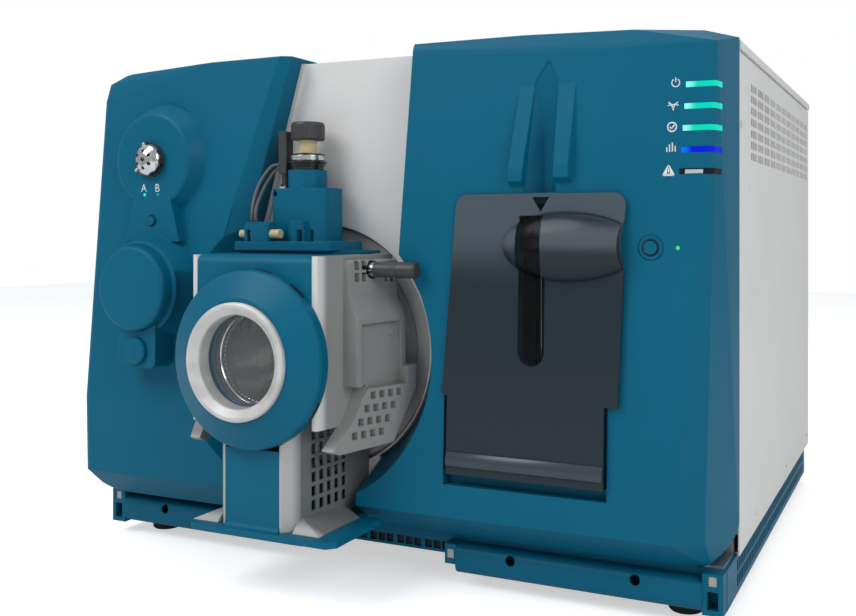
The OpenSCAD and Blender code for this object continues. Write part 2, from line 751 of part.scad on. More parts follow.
module pocket_walls() {
  block(pocket_x[0] - fascia_t, pocket_x[1] + fascia_t, -80, pocket_back + fascia_t,
    pocket_low - fascia_t, pocket_high + fascia_t);
  translate([0, 0, hinge_z]) {
    ycyl_x(pocket_x[0] - 12, pocket_x[0], 8);
    ycyl_x(pocket_x[1], pocket_x[1] + 12, 8);
  }
}

module bar_window(i, g) {
  z = bar_top - i * bar_pitch;
  block(bar_left - i * bar_step - g, half_w + 1, -80, -25, z - bar_h / 2 - g, z + bar_h / 2 + g);
}

// One light pipe: five bars that fill the windows round the corner, on a strip behind the wall
module status_light_guide() color("#27C8A4") in_cabinet() {
  intersection() {
    difference() {
      right_form(0);
      right_form(13);
    }
    union() for (i = [0:bar_count - 1]) bar_window(i, 0);
  }
  block(half_w - 35.5, half_w - 20.5, -42, -36, bar_top - (bar_count - 1) * bar_pitch - 3, bar_top + 3);
}

module ready_light() color("#27C88A") in_cabinet()
  ycyl(ready_x, button_z, face_y(ready_x, button_z) - 0.3, -42, ready_r);

module button_housing() color(teal) in_cabinet() {
  y0 = face_y(pump_x, button_z) + housing_seat;
  difference() {
    union() {
      ycyl(pump_x, button_z, y0 - 1.6, housing_back + 4, housing_r);
      turned(pump_x, y0, button_z, [[housing_r - 0.5, 0], [housing_rim, 0], [housing_rim - 0.8, 2.2],
        [housing_rim - 2.6, 2.2], [housing_r - 0.5, 1.5]]);
    }
    ycyl(pump_x, button_z, y0 - 4, housing_back, pump_cap_r + free_gap);
  }
}

module pump_button() color(teal) in_cabinet()
  ycyl(pump_x, button_z, face_y(pump_x, button_z) - button_travel - 0.6,
    housing_back - button_travel - free_gap, pump_cap_r);

// ---------- smoked pump door ----------
bulge_set_back = (bulge_half_h * bulge_half_h - bulge_proud * bulge_proud) / (2 * bulge_proud);
bulge_r = bulge_set_back + bulge_proud;
bulge_drop = bulge_r - bulge_set_back;
bulge_arc_r = (bulge_half_w * bulge_half_w + bulge_drop * bulge_drop) / (2 * bulge_drop);

// Spindle shaped solid on an axis along X, t inside the handle's outer surface
module bulge(t) {
  translate([bulge_x, -hinge_depth - door_t - 0.6 + bulge_set_back, bulge_z - hinge_z])
    rotate([0, 90, 0]) rotate_extrude($fn = 96) intersection() {
      translate([bulge_r - bulge_arc_r, 0]) circle(bulge_arc_r - t, $fn = 180);
      translate([0, -bulge_half_w - 5]) square([bulge_r, 2 * bulge_half_w + 10]);
    }
}

// Shallow finger scoop cut into the handle's open end
scoop_r = 86;
scoop_d = 5;
scoop_edge = door_mid_x[1] + (door_high_x[1] - door_mid_x[1]) * (bulge_z - hinge_z - door_notch)
  / (door_head - 12 - door_notch);

door_corner = 14;

module door_outline() {
  polygon(concat([[door_low_x[0], door_foot], [door_low_x[1], door_foot],
    [door_low_x[1], door_notch], [door_mid_x[1], door_notch]],
    [for (a = [0:15:90]) [door_high_x[1] - door_corner * (1 - cos(a)),
      door_head - door_corner * (1 - sin(a))]],
    [for (a = [90:15:180]) [door_high_x[0] + door_corner * (1 + cos(a)),
      door_head - door_corner * (1 - sin(a))]],
    [[door_mid_x[0], door_notch + 3], [door_low_x[0], door_notch]]));
}

module pump_door() color("#3A4A55", 0.75) in_cabinet()
  translate([0, hinge_y, hinge_z]) rotate([-lean, 0, 0]) {
    front = -hinge_depth - door_t - 0.6;
    difference() {
      union() {
        along_y(front, front + door_t) door_outline();
        intersection() {
          along_y(front - 40, front + door_t) door_outline();
          bulge(0);
          block(0, half_w, front - 40, front + door_t, 0, door_head);
        }
        // hinge barrel and its web to the plate
        rotate([0, 90, 0]) translate([0, 0, door_low_x[0]])
          cylinder(r = barrel_r, h = door_low_x[1] - door_low_x[0]);
        block(door_low_x[0], door_low_x[1], front + 1, 0, -barrel_r + 1, barrel_r - 1);
      }
      intersection() {
        bulge(3);
        block(0, half_w, front - 40, front + door_t + 1, 0, door_head);
      }
      // finger scoop at the handle's open end
      translate([scoop_edge + scoop_r - scoop_d, front - 46, bulge_z - hinge_z]) rotate([-90, 0, 0])
        cylinder(r = scoop_r, h = 46 + door_t + 2, $fn = 180);
      along_y(front - 1, front + 1) translate([door_low_x[0] - 1, 20]) square([door_low_w + 2, 1.2]);
    }
    translate([pocket_x[0] - 7, 0, 0]) rotate([0, 90, 0])
      cylinder(r = door_pin_r, h = pocket_x[1] - pocket_x[0] + 14);
  }

// ---------- syringe pump ----------
rod_y = 2;
rod_half = 11;
rod_r = 4;
screw_y = 16;
screw_r = 4;
frame_y = 26;
clamp_z = [467, 492];
foot_z = [262, 276];
carriage_z = [428.5, 448.5];
pusher_half = 15.5;

module pump_frame() color("#9A9DA0") in_cabinet() difference() {
  union() {
    block(slot_x - 30, slot_x + 30, frame_y, frame_y + 4, foot_z[0], clamp_z[1] + 8);
    for (x = [slot_x - 30, slot_x + 26]) block(x, x + 4, frame_y + 4, joint_y, foot_z[0], clamp_z[1] + 8);
    block(slot_x - 24, slot_x + 24, rod_y - 9, frame_y, foot_z[0], foot_z[1]);
    block(slot_x - 24, slot_x + 24, rod_y - 9, frame_y, clamp_z[0], clamp_z[1]);
    block(slot_x - 14, slot_x + 14, -44, rod_y - 9, clamp_z[0], clamp_z[1]);
  }
  // V notch that clamps a syringe barrel
  translate([0, 0, clamp_z[0] - 1]) linear_extrude(clamp_z[1] - clamp_z[0] + 2)
    polygon([[slot_x - 9, -45], [slot_x + 9, -45], [slot_x, -30]]);
  for (x = [-rod_half, rod_half]) translate([slot_x + x, rod_y, foot_z[0] + 3])
    cylinder(r = rod_r, h = clamp_z[1] - foot_z[0] - 6);
  translate([slot_x, screw_y, foot_z[0] + 3]) cylinder(r = screw_r + run_gap, h = clamp_z[1] - foot_z[0] - 6);
}

module guide_rods() color("#D5D8DA") in_cabinet()
  for (x = [-rod_half, rod_half]) translate([slot_x + x, rod_y, foot_z[0] + 3])
    cylinder(r = rod_r, h = clamp_z[1] - foot_z[0] - 6);

module lead_screw() color("#AEB2B5") in_cabinet()
  translate([slot_x, screw_y, foot_z[0] + 3.3]) cylinder(r = screw_r, h = clamp_z[1] - foot_z[0] - 6.6);

module pump_carriage() color(dark) in_cabinet() difference() {
  union() {
    block(slot_x - 22, slot_x + 22, rod_y - 8, frame_y - 1, carriage_z[0], carriage_z[1]);
    block(slot_x - pusher_half, slot_x + pusher_half, -56, rod_y - 8, carriage_z[0], carriage_z[1]);
  }
  for (x = [-rod_half, rod_half]) translate([slot_x + x, rod_y, carriage_z[0] - 1])
    cylinder(r = rod_r + run_gap, h = carriage_z[1] - carriage_z[0] + 2);
  translate([slot_x, screw_y, carriage_z[0] - 1])
    cylinder(r = screw_r + run_gap, h = carriage_z[1] - carriage_z[0] + 2);
  // seat for a plunger's head
  block(slot_x - 8, slot_x + 8, -57, -40, carriage_z[1] - 8, carriage_z[1] - 4);
  block(slot_x - 3, slot_x + 3, -57, -44, carriage_z[1] - 5, carriage_z[1] + 1);
}

// ---------- rails and feet ----------
rail_reach = 22;
rail_z = [2, 40];
rail_wall = 3;
rail_holes = [202, 366];
clip_w = 10;
bracket_out = half_w - 4.5;

module rail() {
  difference() {
    union() {
      along_x(rail_in, rail_out) difference() {
        intersection() {
          round_rect(-rail_reach, 20, rail_z[0], rail_z[1], 12);
          translate([-rail_reach, 0]) square([rail_reach, 60]);
        }
        intersection() {
          round_rect(-rail_reach + rail_wall, 20, rail_z[0] + rail_wall, rail_z[1] - rail_wall, 9);
          translate([-rail_reach, 0]) square([rail_reach + 1, 60]);
        }
      }
      block(rail_in - 16, rail_in, -20, 0, 14, rail_z[1]);
      block(rail_out, bracket_out, -20, 0, 0, skirt_h);
    }
    for (x = rail_holes) ycyl(x, 29, -30, -10, 6.5);
    clip_pocket(rail_in - 8, 27);
    clip_pocket((rail_out + bracket_out) / 2, 40);
    block(rail_out + 6, bracket_out - 6, -21, 1, 6, 28);
  }
}

module clip_pocket(x, z) block(x - clip_w / 2, x + clip_w / 2, -21, -6, z - 6, z + 6);

module left_rail() color(teal) in_cabinet() mirror([1, 0, 0]) rail();
module right_rail() color(teal) in_cabinet() rail();

// Four pale keeper inserts pressed into the rails' end lugs
module rail_clips() color("#B9BBB4") in_cabinet() for (s = [-1, 1]) {
  for (p = [[rail_in - 8, 27], [(rail_out + bracket_out) / 2, 40]])
    block(s * p[0] - clip_w / 2, s * p[0] + clip_w / 2, -19, -6, p[1] - 6, p[1] + 6);
}

foot_x = half_w - 61.5;
foot_y = [38, cab_d - 63];
pad_r = 22;
pad_h = 12;

module levelling_feet() color(dark) in_cabinet() for (x = [-foot_x, foot_x], y = foot_y)
  translate([x, y, -foot_h]) {
    cylinder(r = pad_r - 2, h = 2);
    translate([0, 0, 2]) cylinder(r = pad_r, h = pad_h - 2);
    translate([0, 0, pad_h]) cylinder(r = 6, h = foot_h - pad_h + skirt_h - sheet);
    translate([0, 0, foot_h + skirt_h - sheet - 8]) cylinder(r = 12, h = 8);
  }

// ---------- ion source ----------
probe_y = -45;
cover_z = axis_z + cover_top;
cover_face = -cover_reach;
chamber_r = 78;
casting_r = 90;
cover_t = 5;
casting_front = cover_face + cover_t;
chamber_back = -6;
latch_z = axis_z + 111.5;
latch_y = -75;
latch_r = 6;
latch_post = [90, 101];
latch_hole_r = 12;
probe_bore_r = 13;
gap_y = 0.3;

// Flange on the bulkhead, with the post that carries the source's latch
module vacuum_flange() color("#D0D1D2") in_cabinet() difference() {
  rim = joint_y - flange_face;
  union() {
    turned(src_x, joint_y, axis_z, [[interface_r, 0], [flange_r, 0], [flange_r, rim - 6],
      [flange_r - 4, rim], [flange_r - 22, rim], [flange_r - 26, rim - 5], [flange_r - 34, rim - 5],
      [flange_r - 38, rim], [interface_r, rim]]);
    block(src_x + latch_post[0], src_x + latch_post[1], latch_y - 10, flange_face + 6, latch_z - 10,
      latch_z + 10);
  }
  latch_axis(latch_post[0] - 1, latch_post[1] + 1, latch_r + run_gap);
}

// Cylinder on the latch's axis between two distances from the source's axis
module latch_axis(u0, u1, r) translate([src_x + u0, latch_y, latch_z]) rotate([0, 90, 0])
  cylinder(r = r, h = u1 - u0);

// Cast source body with a round chamber, a front rim, a rear rim and the probe's column
module source_housing() color("#A9ABAD") in_cabinet() difference() {
  depth = flange_face - casting_front;
  union() {
    turned(src_x, flange_face, axis_z, [[0, 0], [casting_r + 12, 0], [casting_r + 12, 10],
      [casting_r, 14], [casting_r, depth - 12], [casting_r - 2, depth - 10], [casting_r - 2, depth],
      [0, depth]]);
    block(src_x - 46, src_x + 46, probe_y - 32, probe_y + 32, axis_z + 60, cover_z - cover_t);
  }
  ycyl(src_x, axis_z, casting_front - 1, chamber_back, chamber_r);
  ycyl(src_x, axis_z, chamber_back - 1, flange_face + 1, interface_r);
  translate([src_x, probe_y, axis_z]) cylinder(r = probe_bore_r, h = cover_top);
}

module source_cover() color(teal) in_cabinet() difference() {
  union() {
    along_y(cover_face, cover_face + cover_t) {
      translate([src_x - cover_half, axis_z]) square([2 * cover_half, cover_top - 12]);
      translate([src_x, axis_z]) circle(cover_half, $fn = 96);
    }
    // folded top with a rounded front edge
    along_x(src_x - cover_half, src_x + cover_half) difference() {
      union() {
        translate([cover_face, cover_z - 12]) square([cover_t, 1]);
        translate([cover_face + 12, cover_z - 12]) circle(12);
        translate([cover_face + 12, cover_z - cover_t]) square([-18 - cover_face - 12, cover_t]);
      }
      translate([cover_face + 12, cover_z - 12]) circle(12 - cover_t);
      translate([cover_face + 12, cover_z - 26]) square([30, 26 - cover_t]);
      translate([cover_face + cover_t, cover_z - 26]) square([30, 14]);
    }
  }
  ycyl(src_x, axis_z, cover_face - 1, cover_face + cover_t + 1, chamber_r);
  translate([src_x, probe_y, cover_z - 8]) cylinder(r = probe_bore_r + 6, h = 10);
}

// Right moulded side cover: a flared wall, a body that widens below its vents and frames a sunk
// panel, and a vented scoop that curves forward as it goes down
side_back = centre_face - 18;
side_flare = 24;
side_low = axis_z - 84;
side_top = cover_z - 1;
wall_u = 98;
wall_t = 4;
vent_out = 8;
body_out = 24;
body_len = 94;
body_low = -34;
sunk_depth = 8;
scoop_front = -152;
scoop_out = [12, 38];

flare_angle = atan(side_flare / (side_back - cover_face));

function flare_u(y) = wall_u + side_flare * (y - cover_face) / (side_back - cover_face);

module side_wall_plan(t) polygon([[cover_half, cover_face], [wall_u - 4, cover_face],
  [wall_u - 1.2, cover_face + 1.2], [wall_u, cover_face + 5], [flare_u(side_back), side_back],
  [flare_u(side_back) - t, side_back], [wall_u - t, cover_face + 9], [cover_half, cover_face + t]]);

// Places a profile drawn in distance out of the wall and height, swept forward from its back edge
module along_flare(length) translate([flare_u(side_back), side_back, axis_z])
  rotate([90, 0, -flare_angle]) linear_extrude(length) children();

module side_cover() {
  difference() {
    union() {
      translate([0, 0, side_low]) linear_extrude(side_top - side_low) side_wall_plan(wall_t);
      // top shelf of the cover
      translate([0, 0, side_top - 4]) linear_extrude(4) polygon([[cover_half, cover_face],
        [wall_u - 4, cover_face], [wall_u, cover_face + 5], [flare_u(side_back), side_back],
        [cover_half, side_back]]);
      along_flare(body_len) polygon([[-3, cover_top - 7], [vent_out - 3, cover_top - 7],
        [vent_out, cover_top - 10], [vent_out + 1, 78], [body_out, 50], [body_out, body_low],
        [-3, body_low]]);
      scoop(0);
    }
    // sunk panel with sloping jambs
    along_flare_panel();
    for (i = [0:1], j = [0:1]) side_hole(-108 + i * 13, 97 + j * 15, 9, 11);
    for (i = [0:2]) side_hole(-52 + i * 11, 95, 8, 9);
    for (i = [0:3], j = [0:3]) side_hole(-96 + i * 13 - j * 9, -52 - j * 16, 8, 9);
    translate([-src_x, 0, 0]) latch_axis(cover_half + 1, flare_u(side_back) + 20, latch_hole_r);
  }
  // oval screw head in the sunk panel
  translate([flare_u(-50) + body_out - sunk_depth - 1, -50, axis_z + 30]) rotate([0, 90, -flare_angle])
    scale(1) cylinder(r = 6, h = 3.4);
}

module along_flare_panel() translate([flare_u(side_back), side_back, axis_z])
  rotate([0, 0, -flare_angle]) translate([body_out - sunk_depth, 0, 0]) rotate([90, 0, 90])
    linear_extrude(40) polygon([[-10, -38], [-10, 44], [-body_len + 8, 44], [-body_len + 10, -38]]);

module side_hole(y, z, w, h) block(flare_u(y) - 16, flare_u(y) + 60, y, y + w, axis_z + z,
  axis_z + z + h);

// Side view of the scoop: an upper lip that sweeps down to the front, and a straight lower edge
scoop_lip = [[side_back, -14], [-78, -22], [-104, -44], [-122, -78], [scoop_front, -110]];

module scoop(t) intersection() {
  along_x(wall_u - 3, wall_u + 80) translate([0, axis_z]) polygon(concat(
    [for (k = [0:16]) let (p = spline(scoop_lip, k / 16)) [p[0], p[1]]],
    [[scoop_front + 12, -116], [-62, -112], [side_back, -46]]));
  translate([0, 0, axis_z - 130]) linear_extrude(140) polygon([[wall_u - 3, scoop_front - 1],
    [wall_u + scoop_out[0], scoop_front - 1], [flare_u(side_back) + scoop_out[1], side_back],
    [flare_u(side_back) - 3, side_back]]);
}

module source_side_right() color("#B4B6B8") in_cabinet() translate([src_x, 0, 0]) side_cover();
module source_side_left() color("#B4B6B8") in_cabinet() translate([src_x, 0, 0]) mirror([1, 0, 0]) side_cover();

glass_r = window_r + 6;
glass_t = 9;
ring_seat = bezel_t - 4;
cone_top = bezel_t + ring_t - 7;

// Round bezel with a conical face that rises to the window ring
module source_bezel() color(teal) in_cabinet() turned(src_x, cover_face, axis_z,
  [[window_r + 2, 0], [bezel_r, 0], [bezel_r, bezel_t - 7], [bezel_r - 1.5, bezel_t - 3],
   [bezel_r - 5, bezel_t - 1], [ring_r + 5, cone_top - 1], [ring_r + 1, cone_top], [ring_r, cone_top - 1],
   [ring_r, ring_seat], [glass_r, ring_seat], [glass_r, ring_seat - glass_t],
   [window_r + 2, ring_seat - glass_t]]);

module window_ring() color("#D9DBDC") in_cabinet() turned(src_x, cover_face - ring_seat, axis_z,
  [[window_r, 0], [ring_r, 0], [ring_r, ring_t + 1], [ring_r - 1, ring_t + 3], [ring_r - 3, ring_t + 4],
   [ring_r - 6, ring_t + 4], [window_r + 1, ring_t - 2], [window_r, ring_t - 4]]);

module window_glass() color("#C8D4D8", 0.35) in_cabinet()
  ycyl(src_x, axis_z, cover_face - ring_seat, cover_face - ring_seat + glass_t, glass_r - fit_gap);

// Turned curtain plate with its small orifice, at the back of the chamber
module curtain_plate() color("#BFC2C4") in_cabinet() turned(src_x, chamber_back, axis_z,
  [[3, 8], [6, 16], [10, 16], [44, 6], [chamber_r - 4, 4], [chamber_r - 4, 0], [40, 0], [8, 6], [3, 6]]);

// Quarter turn latch: a cam behind the post, a shaft through it and a stepped grip outside
module latch_right() color(dark) in_cabinet() {
  latch_axis(latch_post[0] - 1, 130, latch_r);
  latch_axis(latch_post[1] + free_gap, latch_post[1] + 7, latch_r + 3);
  latch_axis(127, 160, 10);
  latch_axis(160, 188, 10.6);
}

// ---------- probe tower ----------
tower_base_z = cover_z + 4;
tower_z = tower_base_z + 12;
tower_top = axis_z + 219;
collar_top = tower_top + 25;
ring_top = collar_top + 24;
sleeve_top = ring_top + 17;
knob_top = sleeve_top + 25;
tower_half = 45;
collar_out_r = 26.5;
nut_r = 23.5;
sleeve_r = 12.4;
knob_r = 23;

module probe_tower() color(teal) in_cabinet() difference() {
  union() {
    // thin foot that runs out over the right side cover
    translate([src_x, 0, cover_z]) linear_extrude(4)
      polygon([[-72, -98], [66, -98], [104, -32], [104, -26], [-72, -26]]);
    translate([0, 0, tower_base_z]) linear_extrude(12)
      round_rect(src_x - 80, src_x + 76, -108, -20, 12);
    translate([0, 0, tower_z]) linear_extrude(tower_top - tower_z)
      round_rect(src_x - tower_half, src_x + tower_half, -71, -20, 12);
    translate([src_x, probe_y, tower_top - 1]) cylinder(r = collar_out_r, h = collar_top - tower_top + 1);
    translate([src_x + 4, -72, tower_z]) cylinder(r = 14, h = 27);
  }
  translate([src_x, probe_y, cover_z - 1]) cylinder(r = probe_bore_r, h = collar_top - cover_z + 2);
  for (x = [10, 22]) block(src_x + x, src_x + x + 5, -90, -66, tower_z - 1, tower_z + 15);
  ycyl(src_x - 36, tower_top - 7, -75, -60, 4);
}

// Knurled retaining ring that turns on the collar's spigot
module retaining_ring() color("#2F3133") in_cabinet() translate([src_x, probe_y, collar_top + gap_y])
  difference() {
    union() {
      cylinder(r = nut_r - 1.5, h = 5);
      translate([0, 0, 4]) cylinder(r = nut_r, h = 18);
      translate([0, 0, 9]) cylinder(r = nut_r + 2.5, h = 3);
    }
    translate([0, 0, -1]) cylinder(r = sleeve_r + run_gap, h = 30);
  }

// Tan probe body: it stands in the tower's bore and carries the knob
module probe_sleeve() color("#C9B893") in_cabinet() translate([src_x, probe_y, 0]) {
  translate([0, 0, cover_z]) cylinder(r = sleeve_r, h = sleeve_top - cover_z);
  // two lands that fit the tower's bore
  for (z = [cover_z, collar_top - 10]) translate([0, 0, z]) cylinder(r = probe_bore_r, h = 10);
  translate([0, 0, collar_top + 23]) cylinder(r = sleeve_r + 4, h = 2.5);
  translate([0, 0, axis_z + 34]) cylinder(r = 5, h = cover_z - axis_z - 33);
  translate([0, 0, sleeve_top - 1]) cylinder(r = 5, h = 15);
}

module probe_knob() color(dark) in_cabinet() translate([src_x, probe_y, sleeve_top + gap_y])
  difference() {
    union() {
      cylinder(r = knob_r, h = 22);
      translate([0, 0, 21]) cylinder(r = knob_r - 2, h = 3.5);
    }
    translate([0, 0, -1]) cylinder(r = 5 + run_gap, h = 16);
  }

sensor_x = src_x - 34.5;
sensor_y = -48;
sensor_half = [7, 8.5];

module sensor_block() color("#3A3C3F") in_cabinet() {
  translate([0, 0, tower_top + 21]) linear_extrude(58)
    round_rect(sensor_x - sensor_half[0], sensor_x + sensor_half[0], sensor_y - sensor_half[1],
      sensor_y + sensor_half[1], 2);
  translate([sensor_x, sensor_y, tower_top + 6]) cylinder(r = 5, h = 16);
  translate([sensor_x, sensor_y, tower_top]) cylinder(r = 7, h = 7);
}

union_z = tower_z + 10;
union_top = tower_z + 26;

// Two short leads from the sensor block down to the union block, as points from the source's axis
cable_r = 2.3;
cable_top = tower_top - axis_z + 30;
cable_low = union_top - axis_z;
cable_u = sensor_x - sensor_half[0] - src_x;
cable_points = [
  [[cable_u, sensor_y - 2, cable_top - 3], [cable_u - 7, sensor_y - 2, cable_top - 3],
    [cable_u - 13, -57, cable_top - 14], [cable_u - 15, -74, cable_top - 38], [-52, -91, cable_low + 14],
    [-52, -91, cable_low]],
  [[cable_u, sensor_y - 6, cable_top + 3], [cable_u - 8, sensor_y - 6, cable_top + 3],
    [cable_u - 17, -63, cable_top - 10], [cable_u - 19, -80, cable_top - 36], [-58, -91, cable_low + 14],
    [-58, -91, cable_low]]
];

function spline(p, u) = let (n = len(p) - 1, i = min(floor(u * n), n - 1), f = u * n - i,
  a = p[max(i - 1, 0)], b = p[i], c = p[i + 1], d = p[min(i + 2, n)])
  0.5 * (2 * b + (c - a) * f + (2 * a - 5 * b + 4 * c - d) * f * f + (3 * b - a - 3 * c + d) * f * f * f);

near = 0.0001;

module tube(p, r, rings, sides) {
  function at(k) = spline(p, k / rings);
  function dir(k) = let (v = spline(p, min(k / rings + near, 1)) - spline(p, max(k / rings - near, 0)))
    v / norm(v);
  function side1(k) = let (v = cross(dir(k), [0, 1, 0.2])) v / norm(v);
  function ring(k) = let (s = side1(k), t = cross(dir(k), s))
    [for (j = [0:sides - 1]) at(k) + r * (cos(360 * j / sides) * s + sin(360 * j / sides) * t)];
  polyhedron(
    points = [for (k = [0:rings]) each ring(k)],
    faces = concat(
      [[for (j = [0:sides - 1]) j]],
      [for (k = [0:rings - 1], j = [0:sides - 1]) [(k + 1) * sides + j,
        (k + 1) * sides + (j + 1) % sides, k * sides + (j + 1) % sides, k * sides + j]],
      [[for (j = [sides - 1:-1:0]) rings * sides + j]]));
}

module probe_cables() color("#4A4B4D") in_cabinet() translate([src_x, 0, axis_z])
  for (p = cable_points) tube(p, cable_r, 20, 8);

module union_block() color(teal) in_cabinet() difference() {
  union() {
    translate([0, 0, tower_z]) linear_extrude(22) round_rect(src_x - 62, src_x - 22, -106, -86, 5);
    block(src_x - 62, src_x - 22, -100, -86, tower_z, union_top);
  }
  block(src_x - 55, src_x - 49, -107, -96, tower_z - 1, tower_z + 15);
  along_x(src_x - 64, src_x - 20) translate([-96, union_z]) circle(4);
}

module peek_fittings() color("#CDBB8F") in_cabinet() {
  translate([src_x - 72, -96, union_z]) rotate([0, 90, 0]) {
    cylinder(r = 5.5, h = 10);
    cylinder(r = 4, h = 22);
  }
  translate([src_x - 34, -96, union_z]) rotate([0, 90, 0]) {
    cylinder(r = 4, h = 22);
    translate([0, 0, 12]) cylinder(r = 6, h = 15);
  }
}

// ---------- pedestal ----------
ped_face = -165;
ped_half = 42;
ped_side = 61;
ped_low = 74;
ped_back = centre_face;
flare_r = 9;
tray_u = [-98, 126];
tray_t = 8;
tray_front = -174;
tray_back = -60;
tray_cut = 10;

module pedestal_front() color(teal) in_cabinet() {
  block(src_x - ped_half, src_x + ped_half, ped_face, ped_face + 4, ped_low,
    axis_z - bezel_r - free_gap);
  // foot tray with cut front corners, and a flare up to the front plate
  translate([src_x, 0, ped_low - tray_t]) linear_extrude(tray_t) polygon([[tray_u[0], tray_back],
    [tray_u[0], tray_front + tray_cut], [tray_u[0] + tray_cut, tray_front],
    [tray_u[1] - tray_cut, tray_front], [tray_u[1], tray_front + tray_cut],
    [tray_u[1], tray_back], [foot_gap_half - 2, tray_back], [foot_gap_half - 2, ped_back],
    [2 - foot_gap_half, ped_back], [2 - foot_gap_half, tray_back]]);
  along_x(src_x - ped_half, src_x + ped_half) difference() {
    translate([ped_face - flare_r, ped_low]) square([flare_r, flare_r]);
    translate([ped_face - flare_r, ped_low + flare_r]) circle(flare_r);
  }
}

module pedestal_plan(t) polygon([[ped_half, ped_face + t], [ped_half, ped_face], [ped_half + 2, ped_face],
  [ped_side, ped_face + 18], [ped_side + 14, ped_back], [ped_side + 14 - t, ped_back],
  [ped_side - t, ped_face + 18 + t], [ped_half + 2, ped_face + t]]);

foot_out = 98;

module pedestal_wall() {
  difference() {
    translate([0, 0, ped_low]) linear_extrude(axis_z - 60 - ped_low) pedestal_plan(3);
    for (i = [0:4], j = [0:5]) block(ped_half + 10, ped_side + 30, -126 + i * 15, -117 + i * 15,
      ped_low + 20 + j * 18, ped_low + 33 + j * 18);
    ycyl(0, axis_z, ped_face - 60, ped_back + 5, casting_r + 13);
    ycyl(0, axis_z, ped_face - 60, cover_face + free_gap, bezel_r + free_gap);
  }
  // sloping foot between the wall and the tray
  hull() {
    block(ped_side - 3, ped_side, ped_face + 18, tray_back - 2, ped_low, ped_low + 1);
    block(ped_side - 3, foot_out, ped_face + 4, tray_back - 8, ped_low, ped_low + 0.5);
    block(ped_side - 3, ped_side, ped_face + 22, tray_back - 2, ped_low + 15, ped_low + 16);
  }
}

module pedestal_sides() color("#B4B6B8") in_cabinet() translate([src_x, 0, 0]) {
  pedestal_wall();
  mirror([1, 0, 0]) pedestal_wall();
  // plate across the back that joins the two walls
  block(-ped_side - 13, ped_side + 13, ped_back - 3, ped_back, ped_low, ped_low + 40);
}

// ---------- inside the cabinet ----------
chamber_half = 150;
chamber_len = 470;
chamber_x = [src_x - chamber_half, src_x + chamber_half];
chamber_y = [bulk_back, bulk_back + chamber_len];
chamber_z = [axis_z - 78, axis_z + 92];
chamber_bore = 52;
pump_body_r = 62;
pump_y = [bulk_back + 120, bulk_back + 330];
unit_gap = 15;
unit_front = bulk_back + 60;
unit_back = cab_d - 60;
unit_side = 40;
electronics_left = 170;
electronics_h = 468;
power_h = 218;

module vacuum_chamber() color("#BEC1C3") in_cabinet() difference() {
  block(chamber_x[0], chamber_x[1], chamber_y[0], chamber_y[1], chamber_z[0], chamber_z[1]);
  ycyl(src_x, axis_z, chamber_y[0] - 1, chamber_y[0] + 12, interface_r);
  ycyl(src_x, axis_z, chamber_y[0] + 11, chamber_y[1] - 14, chamber_bore);
  for (y = pump_y) translate([src_x, y, chamber_z[0] - 1]) cylinder(r = pump_body_r - 18, h = 70);
}

module turbo(y) {
  translate([src_x, y, chamber_z[0] - 12]) cylinder(r = pump_body_r + 12, h = 12);
  translate([src_x, y, floor_top]) cylinder(r = pump_body_r, h = chamber_z[0] - 12 - floor_top);
}

module turbo_pump_front() color("#8F9396") in_cabinet() turbo(pump_y[0]);
module turbo_pump_rear() color("#8F9396") in_cabinet() turbo(pump_y[1]);

rod_set_y = [chamber_y[0] + 40, chamber_y[1] - 14];

// Four round rods carried by three insulating collars in the chamber's bore
module rod_set() color("#E2E0D8") in_cabinet() {
  for (y = [rod_set_y[0] + 10, (rod_set_y[0] + rod_set_y[1]) / 2, rod_set_y[1] - 24]) difference() {
    ycyl(src_x, axis_z, y, y + 14, chamber_bore);
    ycyl(src_x, axis_z, y - 1, y + 15, 16);
  }
  for (a = [45:90:315]) ycyl(src_x + 16 * cos(a), axis_z + 16 * sin(a), rod_set_y[0], rod_set_y[1], 8);
}

module electronics_unit() color("#A7ABAE") in_cabinet()
  block(electronics_left, half_w - unit_side, unit_front, unit_back, floor_top,
    floor_top + electronics_h);

module power_unit() color("#8D9194") in_cabinet()
  block(-half_w + unit_side, chamber_x[0] - unit_gap, unit_front, unit_back, floor_top,
    floor_top + power_h);

base_skirt();
chassis_base();
front_bulkhead();
left_panel();
right_panel();
lid();
rear_panel();
centre_panel();
left_fascia();
right_fascia();
left_rail();
right_rail();
rail_clips();
levelling_feet();
valve_stator();
valve_ring();
valve_rotor();
valve_light_guide();
valve_button();
valve_cover();
port_plug();
pump_door();
pump_frame();
guide_rods();
lead_screw();
pump_carriage();
button_housing();
pump_button();
ready_light();
status_light_guide();
vacuum_flange();
source_housing();
source_cover();
source_side_right();
source_side_left();
source_bezel();
window_ring();
window_glass();
curtain_plate();
latch_right();
probe_tower();
retaining_ring();
probe_sleeve();
probe_knob();
sensor_block();
probe_cables();
union_block();
peek_fittings();
pedestal_front();
pedestal_sides();
vacuum_chamber();
turbo_pump_front();
turbo_pump_rear();
rod_set();
electronics_unit();
power_unit();
fan_left();
fan_right();
mains_switch();
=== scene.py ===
"""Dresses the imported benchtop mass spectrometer: finishes, printed marks, lamps, leads and trim."""

from __future__ import annotations

import logging
import math
from dataclasses import dataclass, field
from enum import Enum
from typing import Sequence

import bmesh
import bpy
from mathutils import Matrix, Vector

